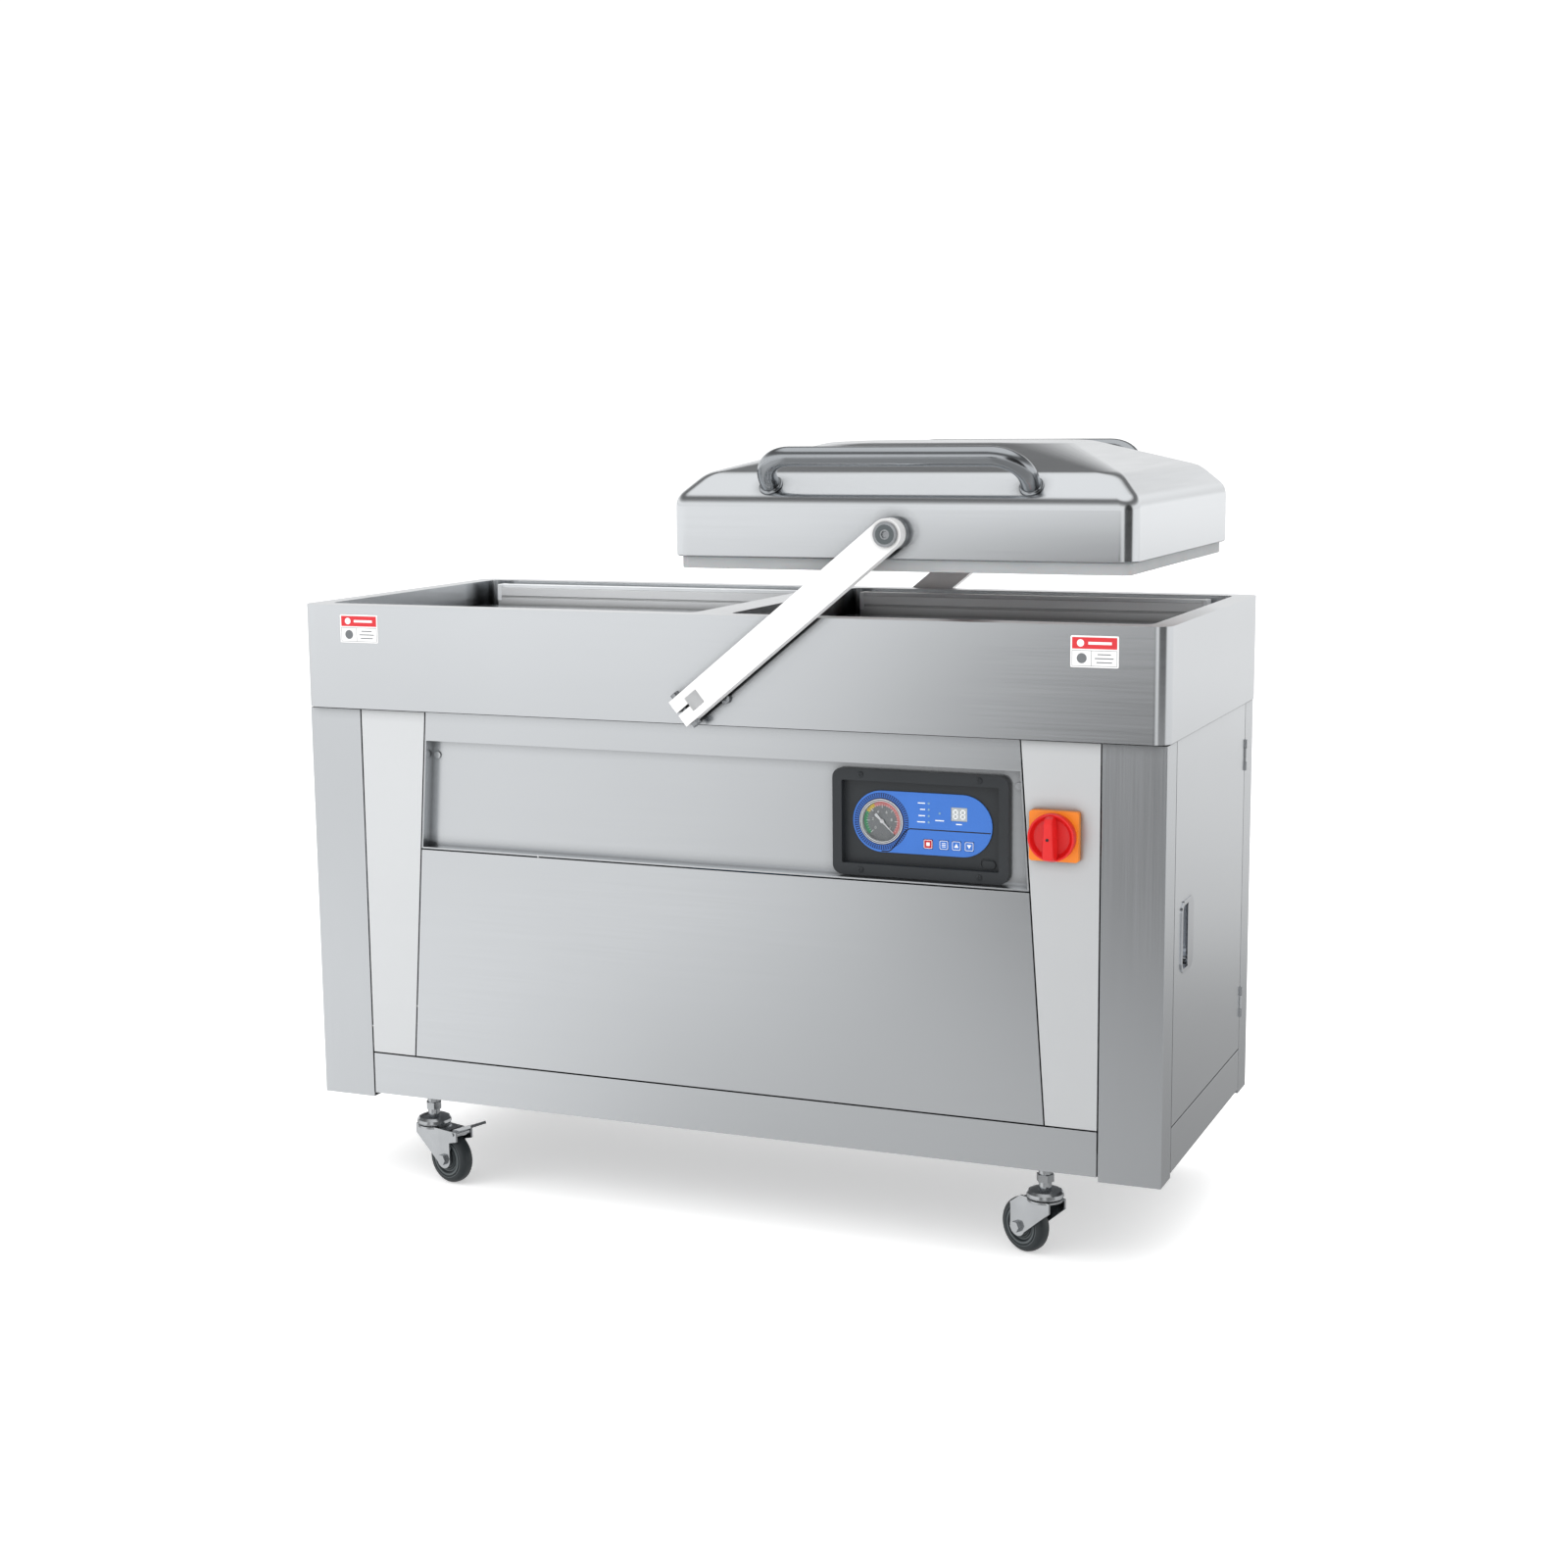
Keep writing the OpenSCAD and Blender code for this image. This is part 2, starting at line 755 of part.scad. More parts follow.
module control_bezel() {
  color([0.13, 0.14, 0.15]) {
    translate([bezel_cx, 0, bezel_cz]) difference() {
      front_sheet(recess_y - bezel_t, bezel_t) rounded_rect(bezel_w, bezel_h, 13);
      front_sheet(recess_y - bezel_t - 1, bezel_t + 2) rounded_rect(window_w, window_h, 2);
      for (x = [-82, 82], z = [-63.5, 63.5])
        rod_y(x, z, 4.2, recess_y - bezel_t - 1, recess_y - bezel_t + 2);
    }
    for (x = [-82, 82], z = [-63.5, 63.5])
      rod_y(bezel_cx + x, bezel_cz + z, 4, recess_y - bezel_t - 1, recess_y - bezel_t + 2);
  }
}

// Moulded box behind the bezel, open at the back
module control_housing() {
  color([0.16, 0.17, 0.18])
    difference() {
      translate([bezel_cx, 0, bezel_cz]) front_sheet(recess_y + slip, 54)
        rounded_rect(window_w + 8, window_h + 8, 4);
      translate([bezel_cx, 0, bezel_cz]) front_sheet(recess_y - 1, panel_y - recess_y + 1)
        rounded_rect(window_w, window_h, 2);
      translate([bezel_cx, 0, bezel_cz]) front_sheet(panel_y + 3, 60)
        rounded_rect(window_w + 2, window_h + 2, 2);
      rod_y(gauge_x, gauge_z, gauge_r + slip, panel_y - 1, panel_y + 5);
      for (x = button_xs) translate([x, panel_y + 1, button_z])
        cube([button_s - 3, 10, button_s - 3], center = true);
      translate([display_x, panel_y, display_z]) cube([22.2, 10, 18.2], center = true);
      for (z = lamp_zs) rod_y(lamp_x, z, 1.52, panel_y - 1, panel_y + 5);
      rod_y(lamp_x + 15, display_z, 1.52, panel_y - 1, panel_y + 5);
      // finger notch for lifting the fascia out
      translate([388.5, 0, 526.5]) front_sheet(panel_y - 1, 2.2) rounded_rect(22, 14, 6.9);
    }
}

// Coloured fascia with true openings for the gauge, lamps, display and buttons
module membrane_panel() {
  color("royalblue")
    difference() {
      translate([panel_x, 0, gauge_z]) front_sheet(panel_y - 2 - slip, 2)
        rounded_rect(panel_l, panel_h, panel_h / 2 - eps);
      rod_y(gauge_x, gauge_z, gauge_r + slip, panel_y - 4, panel_y + 1);
      for (x = button_xs) translate([x, panel_y - 2, button_z])
        cube([button_s + 0.6, 10, button_s + 0.6], center = true);
      translate([display_x, panel_y, display_z]) cube([22.2, 10, 18.2], center = true);
      for (z = lamp_zs) rod_y(lamp_x, z, 1.52, panel_y - 4, panel_y + 1);
      rod_y(lamp_x + 15, display_z, 1.52, panel_y - 4, panel_y + 1);
    }
}

// Vacuum gauge: a cup with a white rim, a dial plate and a rear hose spigot
module gauge_case() {
  color("white")
    difference() {
      union() {
        rod_y(gauge_x, gauge_z, gauge_r, panel_y - 4, panel_y + 26);
        rod_y(gauge_x, gauge_z, 5, panel_y + 26 - eps, panel_y + 40);
      }
      rod_y(gauge_x, gauge_z, gauge_r - 3, panel_y - 5, panel_y + 2);
    }
  color("black") rod_y(gauge_x, gauge_z, 1, panel_y + 0.4, panel_y + 2 + eps);
}

module gauge_lens() {
  color([0.8, 0.9, 0.95, 0.4])
    rod_y(gauge_x, gauge_z, gauge_r - 3 - slip, panel_y - 3.4, panel_y - 2.2);
}

// The needle points down to the right at rest
module gauge_needle() {
  color("white")
    translate([gauge_x, panel_y, gauge_z]) rotate([0, 45, 0]) difference() {
      union() {
        rod_y(0, 0, 3, -0.6, 1.4);
        front_sheet(-0.5, 0.6)
          polygon([[-13, -1.6], [-13, 1.6], [0, 1.4], [22, 0.3], [22, -0.3], [0, -1.4]]);
      }
      rod_y(0, 0, 1 + run, 0.3, 2);
    }
}

module display() {
  color("lightgray")
    box(display_x - 11, display_x + 11, panel_y - 1.6, panel_y + 8, display_z - 9,
      display_z + 9);
}

module status_lamps() {
  color("khaki") {
    for (z = lamp_zs) rod_y(lamp_x, z, 1.5, panel_y - 2.4, panel_y + 8);
    rod_y(lamp_x + 15, display_z, 1.5, panel_y - 2.4, panel_y + 8);
  }
}

// A push button with a stem through the housing
module button(x) {
  translate([x, panel_y - 1.1, button_z]) {
    translate([0, 0.05 - 1, 0]) rotate([90, 0, 0])
      translate([0, 0, -0.8]) rounded_block(button_s, button_s, 1.6, 1.8);
    translate([0, 4, 0]) cube([button_s - 4, 9, button_s - 4], center = true);
  }
}

module button_stop() { color("firebrick") button(button_xs[0]); }
module button_set() { color("steelblue") button(button_xs[1]); }
module button_up() { color("steelblue") button(button_xs[2]); }
module button_down() { color("steelblue") button(button_xs[3]); }

module switch_plate() {
  color("orange")
    difference() {
      translate([switch_x, 0, switch_z]) front_sheet(-cab_y - switch_t - slip, switch_t)
        rounded_rect(switch_side, switch_side, 4);
      rod_y(switch_x, switch_z, 28, -cab_y - switch_t - 1, -cab_y - switch_t + 4);
      rod_y(switch_x, switch_z, 6, -cab_y - switch_t - 1, -cab_y + 1);
    }
}

module switch_knob() {
  color("red")
    difference() {
      union() {
        rod_y(switch_x, switch_z, knob_d / 2, -cab_y - 26, -cab_y - switch_t - 1);
        // grip bar
        translate([switch_x, 0, switch_z]) front_sheet(-cab_y - 39, 14)
          rounded_rect(13, knob_d - 5, 5);
        rod_y(switch_x, switch_z, 4, -cab_y - switch_t - 2, -cab_y + 22);
      }
      // dished face beside the bar
      difference() {
        rod_y(switch_x, switch_z, knob_d / 2 - 3.5, -cab_y - 27, -cab_y - 18);
        translate([switch_x, -cab_y - 22, switch_z]) cube([13, 12, knob_d], center = true);
      }
      rod_y(switch_x, switch_z, 2.4, -cab_y - 40, -cab_y - 30);
    }
}

module switch_body() {
  color("dimgray")
    difference() {
      union() {
        rod_y(switch_x, switch_z, 13.5, -cab_y + 0.4, -cab_y + 3);
        translate([switch_x, 0, switch_z]) front_sheet(-cab_y + 2.2, 44)
          rounded_rect(48, 48, 4);
      }
      rod_y(switch_x, switch_z, 4 + run, -cab_y - 1, -cab_y + 26);
    }
}

// ---- inside the cabinet ----

// Rotary vane pump with its oil case and exhaust filter in one casting
module vacuum_pump() {
  color("steelblue") {
    translate([-250, 0, deck_top + 14]) {
      translate([0, 0, 6]) rounded_block(190, 230, 190, 16);
      // cooling fins
      for (k = [0:6]) box(-102, 102, -100 + 33 * k, -97 + 33 * k, 20, 180);
      // filter dome and inlet flange
      translate([0, -50, 190]) cylinder(r = 46, h = 60);
      translate([30, 60, 190]) cylinder(r = 34, h = 22);
      translate([30, 60, 205]) cylinder(r = 16, h = 30);
    }
    // feet
    for (x = [-80, 80], y = [-90, 90])
      translate([-250 + x, y, deck_top + slip]) cylinder(r = 18, h = 21);
  }
}

module pump_motor() {
  color("slategray") {
    translate([-147.5, 0, deck_top + 118]) rotate([0, 90, 0]) {
      cylinder(r = 60, h = 16);
      cylinder(r = 72, h = 210);
      translate([0, 0, 210]) cylinder(r = 66, h = 26);
      for (k = [0:23]) rotate([0, 0, 15 * k]) box(70, 84, -1.5, 1.5, 20, 200);
    }
    // terminal box and foot
    box(-110, -10, -40, 40, deck_top + 186, deck_top + 232);
    box(-120, 20, -70, 70, deck_top + slip, deck_top + 12);
    for (y = [-50, 50]) box(-110, 10, y - 4, y + 4, deck_top + 11, deck_top + 80);
  }
}

// Suction pipes from the pump to the two chamber ports, with the release valve block
module vacuum_pipes() {
  color("darkgray") {
    difference() {
      union() {
        translate([-220, 60, pipe_z - 17]) rounded_block(60, 60, 34, 6);
        translate([-220, 60, deck_top + 249 + slip])
          cylinder(r = 14, h = pipe_z - 17 - deck_top - 249 + eps);
        // run across to both ports, under the swing shaft
        translate([-190 - eps, 60, pipe_z]) rotate([0, 90, 0])
          cylinder(r = 12, h = 190 + port_x + 12);
        for (x = [-port_x, port_x]) {
          translate([x, -eps, pipe_z]) rotate([-90, 0, 0]) cylinder(r = 12, h = 60);
          translate([x, 0, pipe_z - 14])
            cylinder(r = 17, h = floor_z - tub_t - pipe_z + 14 - slip);
        }
      }
      for (x = [-port_x, port_x]) translate([x, 0, pipe_z]) cylinder(r = 13, h = 60);
    }
  }
}

// Control transformer and contactors in a steel box
module electrics_box() {
  color("lightgray") {
    difference() {
      translate([390, 60, deck_top + slip]) rounded_block(280, 180, 230, 4);
      translate([400, 60, deck_top + 2]) rounded_block(276, 176, 226, 2);
    }
    translate([330, 60, deck_top + 2 - eps]) rounded_block(110, 96, 90, 4);
    box(420, 500, 20, 100, deck_top + 2 - eps, deck_top + 84);
  }
}

// Cable gland of the mains inlet, at the back
module cable_gland() {
  color([0.2, 0.2, 0.2])
    difference() {
      union() {
        rod_y(gland_x, gland_z, 10, cab_y - sheet - 12, cab_y + 4);
        rod_y(gland_x, gland_z, 14, cab_y + slip, cab_y + 5);
        translate([gland_x, cab_y + 5 - eps, gland_z]) rotate([-90, 0, 0])
          cylinder(r = 14.5, h = 12, $fn = 6);
        rod_y(gland_x, gland_z, 11, cab_y + 17 - eps, cab_y + 24);
        translate([gland_x, cab_y - sheet - slip, gland_z]) rotate([90, 0, 0])
          cylinder(r = 14.5, h = 6, $fn = 6);
      }
      rod_y(gland_x, gland_z, 6, cab_y - 30, cab_y + 40);
    }
}

// ---- casters ----

// Stems, nuts and swivel caps, fixed to the frame
module caster_mounts() {
  color("silver")
    for (x = [-1, 1], y = [-1, 1])
      translate([x * caster_x, y * caster_y, 0]) {
        translate([0, 0, cap_top - 1]) cylinder(r = stem_r, h = kick_z + plate_t - cap_top);
        translate([0, 0, cap_top - 1]) cylinder(r = 8.5, h = 12);
        translate([0, 0, cap_top + 8]) cylinder(r = 12, h = 10, $fn = 6);
        translate([0, 0, kick_z - 14 + eps]) cylinder(r = 9, h = 8);
        translate([0, 0, kick_z - 6]) cylinder(r = 14, h = 6 - slip);
        // domed cap
        rotate_extrude() polygon([[0, 84], [24, 84], [25, 86], [24.6, 90], [22, 93.6],
          [16, 96], [9, cap_top], [0, cap_top]]);
        // king pin with its head
        translate([0, 0, 76]) cylinder(r = 5, h = 9);
        translate([0, 0, 74.5]) cylinder(r = 8, h = 3.5);
      }
}

// A fork heading along +X, with its axle
module fork(braked) {
  reach = braked ? pedal_t + 7 : 30;
  color("lightsteelblue")
    difference() {
      union() {
        translate([0, 0, fork_top - 3]) cylinder(r = 24, h = 3);
        translate([0, -fork_in, fork_top - 3]) cube([reach - 4, 2 * fork_in, 3]);
        for (s = [-1, 1])
          translate([0, s * (fork_in + fork_t / 2), 0]) rotate([90, 0, 0])
            linear_extrude(height = fork_t, center = true) {
              polygon([[-22, fork_top], [-22, fork_top - 14], [trail - 12, axle_z - 6],
                [trail + 13, axle_z], [trail + 13, fork_top - 18],
                [braked ? reach : trail + 14, fork_top - 14],
                [braked ? reach : 30, fork_top]]);
              translate([trail, axle_z]) circle(r = 13.5);
            }
      }
      translate([0, 0, 60]) cylinder(r = axle_r + run, h = 40);
      rod_y(trail, axle_z, axle_r + slip, -40, 40);
      if (braked) {
        rod_y(pedal_t, pedal_z - 4, 2.5, -40, 40);
        translate([pedal_t - 12, -fork_in, fork_top - 5]) cube([30, 2 * fork_in, 8]);
      }
    }
  color("silver") {
    rod_y(trail, axle_z, axle_r, -fork_in - fork_t - 4, fork_in + fork_t + 4);
    translate([trail, -fork_in - fork_t - slip, axle_z]) rotate([90, 0, 0])
      cylinder(r = 8, h = 5, $fn = 6);
    translate([trail, fork_in + fork_t + slip, axle_z]) rotate([-90, 0, 0])
      cylinder(r = 8, h = 6, $fn = 6);
    if (braked) rod_y(pedal_t, pedal_z - 4, 2.5 - slip, -fork_in - fork_t - 1.5,
      fork_in + fork_t + 1.5);
  }
}

// Rubber tyre on a grooved hub
module wheel() {
  color("dimgray")
    translate([trail, 0, axle_z]) rotate([90, 0, 0])
      difference() {
        rotate_extrude($fn = 64) {
          polygon([[6, -fork_in + 0.4], [10, -fork_in + 0.4], [11, -wheel_w / 2 + 3],
            [21, -wheel_w / 2 + 3], [22, -wheel_w / 2], [30, -wheel_w / 2], [35, -8],
            [axle_z, -4], [axle_z, 4], [35, 8], [30, wheel_w / 2], [22, wheel_w / 2],
            [21, wheel_w / 2 - 3], [11, wheel_w / 2 - 3], [10, fork_in - 0.4],
            [6, fork_in - 0.4]]);
          translate([4, -fork_in + 0.4]) square([3, 2 * fork_in - 0.8]);
        }
        cylinder(r = axle_r + run, h = 80, center = true);
      }
}

// Foot pedal of the brake: up is free, pressed down is locked
module pedal() {
  color("slategray")
    difference() {
      union() {
        rod_y(pedal_t, pedal_z - 4, 5.5, -fork_in + 0.5, fork_in - 0.5);
        translate([pedal_t, 0, pedal_z - 4]) rotate([0, -20, 0]) {
          translate([-6, -11, 3]) cube([48, 22, 4]);
          translate([14, -15, 3]) cube([28, 30, 4]);
        }
      }
      rod_y(pedal_t, pedal_z - 4, 2.5 + run, -40, 40);
    }
}

module at_caster(x, y, heading) {
  translate([x * caster_x, y * caster_y, 0]) rotate([0, 0, heading]) children();
}

module fork_front_left() { at_caster(-1, -1, heading_fl) fork(true); }
module fork_front_right() { at_caster(1, -1, heading_fr) fork(false); }
module fork_rear_left() { at_caster(-1, 1, heading_rl) fork(false); }
module fork_rear_right() { at_caster(1, 1, heading_rr) fork(true); }
module wheel_front_left() { at_caster(-1, -1, heading_fl) wheel(); }
module wheel_front_right() { at_caster(1, -1, heading_fr) wheel(); }
module wheel_rear_left() { at_caster(-1, 1, heading_rl) wheel(); }
module wheel_rear_right() { at_caster(1, 1, heading_rr) wheel(); }
module pedal_front_left() { at_caster(-1, -1, heading_fl) pedal(); }
module pedal_rear_right() { at_caster(1, 1, heading_rr) pedal(); }

base_frame();
corner_posts();
kick_panels();
slant_panels();
recess_panel();
front_panel();
rear_panel();
side_panel_left();
door_right();
door_pull();
door_hinges();
tub();
control_bezel();
control_housing();
membrane_panel();
gauge_case();
gauge_lens();
gauge_needle();
display();
status_lamps();
button_stop();
button_set();
button_up();
button_down();
switch_plate();
switch_knob();
switch_body();
rim_labels();
swing_shaft();
shaft_bearings();
arm_front();
arm_rear();
arm_screws();
lid_shell();
lid_gasket();
lid_handles();
pivot_pins();
press_pads();
table_plates();
bar_left_front();
bar_left_rear();
bar_right_front();
bar_right_rear();
bar_guides();
vacuum_pump();
pump_motor();
vacuum_pipes();
electrics_box();
cable_gland();
caster_mounts();
fork_front_left();
fork_front_right();
fork_rear_left();
fork_rear_right();
wheel_front_left();
wheel_front_right();
wheel_rear_left();
wheel_rear_right();
pedal_front_left();
pedal_rear_right();
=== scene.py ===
"""Looks of a double-chamber vacuum packing machine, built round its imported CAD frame.

Metres, +Z up, the operator stands at -Y. Most pieces are copies of their CAD nodes with the edges
rounded. The lid, handles, wheels, knob, gauge needle, prints and small trim are built here.
"""
import json
import math

import bmesh
import bpy
from mathutils import Matrix, Vector


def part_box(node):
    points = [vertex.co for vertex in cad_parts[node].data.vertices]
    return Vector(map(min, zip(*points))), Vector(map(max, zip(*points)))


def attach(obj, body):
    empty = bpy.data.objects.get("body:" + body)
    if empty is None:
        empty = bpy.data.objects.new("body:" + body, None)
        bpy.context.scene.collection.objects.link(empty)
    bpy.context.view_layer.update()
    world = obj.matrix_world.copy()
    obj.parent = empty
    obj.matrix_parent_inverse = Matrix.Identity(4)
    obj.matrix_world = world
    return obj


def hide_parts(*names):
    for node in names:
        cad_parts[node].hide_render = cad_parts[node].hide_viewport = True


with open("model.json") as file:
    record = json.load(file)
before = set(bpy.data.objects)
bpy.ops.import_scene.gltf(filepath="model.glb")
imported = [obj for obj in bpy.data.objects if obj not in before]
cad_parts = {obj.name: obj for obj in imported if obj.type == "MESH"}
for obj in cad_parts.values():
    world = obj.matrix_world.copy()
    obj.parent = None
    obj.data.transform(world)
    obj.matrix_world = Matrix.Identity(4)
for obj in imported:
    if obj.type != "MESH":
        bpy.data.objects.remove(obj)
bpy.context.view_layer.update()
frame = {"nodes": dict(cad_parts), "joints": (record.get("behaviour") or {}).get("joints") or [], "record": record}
nodes = frame["nodes"]
body_of = {node: name for name, members in frame["record"]["behaviour"]["bodies"].items()
           for node in members}
slot_of = {node: item.data.materials[0].name for node, item in nodes.items()}
MM = 0.001


# ---- small helpers ----

def joint(name):
    """Position and axis of a joint at rest."""
    found = next(j for j in frame["joints"] if j["name"] == name)
    return Vector(found.get("pos_m") or (0, 0, 0)), Vector(found["axis"]).normalized()


def centre(node):
    low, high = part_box(node)
    return (low + high) / 2


def smooth(mesh, angle=35):
    """Smooth shading, with edges sharper than the angle left hard."""
    mesh.polygons.foreach_set("use_smooth", [True] * len(mesh.polygons))
    mesh.set_sharp_from_angle(angle=math.radians(angle))


def add_piece(name, mesh, body, slot, replaced=(), angle=35, finish=None):
    """Puts a finished mesh into the scene on its body, in its slot's material or another finish."""
    smooth(mesh, angle)
    item = bpy.data.objects.new(name, mesh)
    bpy.context.scene.collection.objects.link(item)
    mesh.materials.clear()
    mesh.materials.append(MATERIALS[finish or slot])
    weights = item.modifiers.new("face_weights", "WEIGHTED_NORMAL")
    weights.keep_sharp = True
    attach(item, body)
    if replaced:
        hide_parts(*replaced)
    return item


def mesh_from(name, verts, faces):
    """A mesh with its faces turned outwards."""
    bm = bmesh.new()
    made = [bm.verts.new(v) for v in verts]
    for face in faces:
        bm.faces.new([made[i] for i in face])
    bmesh.ops.recalc_face_normals(bm, faces=bm.faces)
    mesh = bpy.data.meshes.new(name)
    bm.to_mesh(mesh)
    bm.free()
    return mesh


def joined(name, meshes):
    """One mesh out of several."""
    bm = bmesh.new()
    for mesh in meshes:
        bm.from_mesh(mesh)
    result = bpy.data.meshes.new(name)
    bm.to_mesh(result)
    bm.free()
    return result


def placed(mesh, matrix):
    mesh.transform(matrix)
    return mesh


def frame_at(position, axis, up=Vector((0, 0, 1))):
    """A matrix whose local Z runs along the axis, with local Y as near to up as it can be."""
    z = axis.normalized()
    x = up.cross(z).normalized()
    y = z.cross(x)
    return Matrix((
        (x.x, y.x, z.x, position.x),
        (x.y, y.y, z.y, position.y),
        (x.z, y.z, z.z, position.z),
        (0, 0, 0, 1)))


def facing_front(x, y, z):
    """A matrix at a point, whose local Z runs towards the operator."""
    return frame_at(Vector((x, y, z)), Vector((0, -1, 0)))


def filleted(points, radius, steps=5):
    """An open outline with each inner corner swapped for a short curve."""
    path = [Vector(points[0])]
    for before, corner, after in zip(points, points[1:], points[2:]):
        before, corner, after = Vector(before), Vector(corner), Vector(after)
        back, ahead = before - corner, after - corner
        reach = min(radius, back.length * 0.45, ahead.length * 0.45)
        start = corner + back.normalized() * reach
        end = corner + ahead.normalized() * reach
        for k in range(steps + 1):
            t = k / steps
            path.append(start * (1 - t) ** 2 + corner * 2 * t * (1 - t) + end * t ** 2)
    path.append(Vector(points[-1]))
    return path


def ring_of(half_w, half_d, radius, z, steps=8):
    """A rounded rectangle at height z, counter-clockwise, with the same number of points always."""
    points = []
    for quarter, (sx, sy) in enumerate([(1, 1), (-1, 1), (-1, -1), (1, -1)]):
        for k in range(steps + 1):
            a = math.radians(90 * (quarter + k / steps))
            points.append(Vector((sx * (half_w - radius) + radius * math.cos(a),
                                  sy * (half_d - radius) + radius * math.sin(a), z)))
    return points


def loft(name, rings, capped=(True, True), closed=False):
    """Skins a stack of rings that all have the same number of points."""
    count = len(rings[0])
    verts = [p for ring in rings for p in ring]
    faces = []
    pairs = len(rings) if closed else len(rings) - 1
    for level in range(pairs):
        a, b = level * count, (level + 1) % len(rings) * count
        for k in range(count):
            n = (k + 1) % count
            faces.append((a + k, a + n, b + n, b + k))
    if capped[0] and not closed:
        faces.append(tuple(reversed(range(count))))
    if capped[1] and not closed:
        last = (len(rings) - 1) * count
        faces.append(tuple(range(last, last + count)))
    return mesh_from(name, verts, faces)


def lathe(name, profile, segments=96, closed=False):
    """Turns a profile of (radius, height) points about local Z. Points on the axis close it."""
    verts, faces, rows = [], [], []
    for radius, height in profile:
        if radius < 1e-7:
            rows.append([len(verts)])
            verts.append((0, 0, height))
            continue
        rows.append(list(range(len(verts), len(verts) + segments)))
        for k in range(segments):
            a = math.tau * k / segments
            verts.append((radius * math.cos(a), radius * math.sin(a), height))
    pairs = list(zip(rows, rows[1:])) + ([(rows[-1], rows[0])] if closed else [])
    for low, high in pairs:
        for k in range(segments):
            n = (k + 1) % segments
            corners = [low[k % len(low)], low[n % len(low)], high[n % len(high)], high[k % len(high)]]
            face = list(dict.fromkeys(corners))
            if len(face) > 2:
                faces.append(face)
    return mesh_from(name, verts, faces)


def swept_tube(name, path, radius, sides=40):
    """A round bar along a path, closed at both ends."""
    rings = []
    side = None
    for k, point in enumerate(path):
        along = (path[min(k + 1, len(path) - 1)] - path[max(k - 1, 0)]).normalized()
        if side is None:
            side = along.orthogonal().normalized()
        side = (side - along * side.dot(along)).normalized()
        other = along.cross(side)
        rings.append([point + (side * math.cos(math.tau * s / sides)
                               + other * math.sin(math.tau * s / sides)) * radius
                      for s in range(sides)])
    return loft(name, rings)


def refined(node, width, segments=3, angle=30):
    """A copy of a CAD node's mesh with its sharp edges rounded."""
    bm = bmesh.new()
    bm.from_mesh(nodes[node].data)
    bmesh.ops.remove_doubles(bm, verts=bm.verts, dist=1e-6)
    bmesh.ops.dissolve_limit(bm, angle_limit=math.radians(0.3), verts=bm.verts, edges=bm.edges)
    if width > 0:
        sharp = [e for e in bm.edges if e.is_manifold and e.calc_face_angle() > math.radians(angle)]
        bmesh.ops.bevel(bm, geom=sharp, offset=width, segments=segments, profile=0.5,
                        affect="EDGES", clamp_overlap=True, loop_slide=True)
    bmesh.ops.dissolve_degenerate(bm, edges=bm.edges, dist=1e-6)
    mesh = bpy.data.meshes.new(node + "_skin")
    bm.to_mesh(mesh)
    bm.free()
    for stale in ("custom_normal", "sharp_edge", "sharp_face"):
        if stale in mesh.attributes:
            mesh.attributes.remove(mesh.attributes[stale])
    return mesh


# ---- materials ----

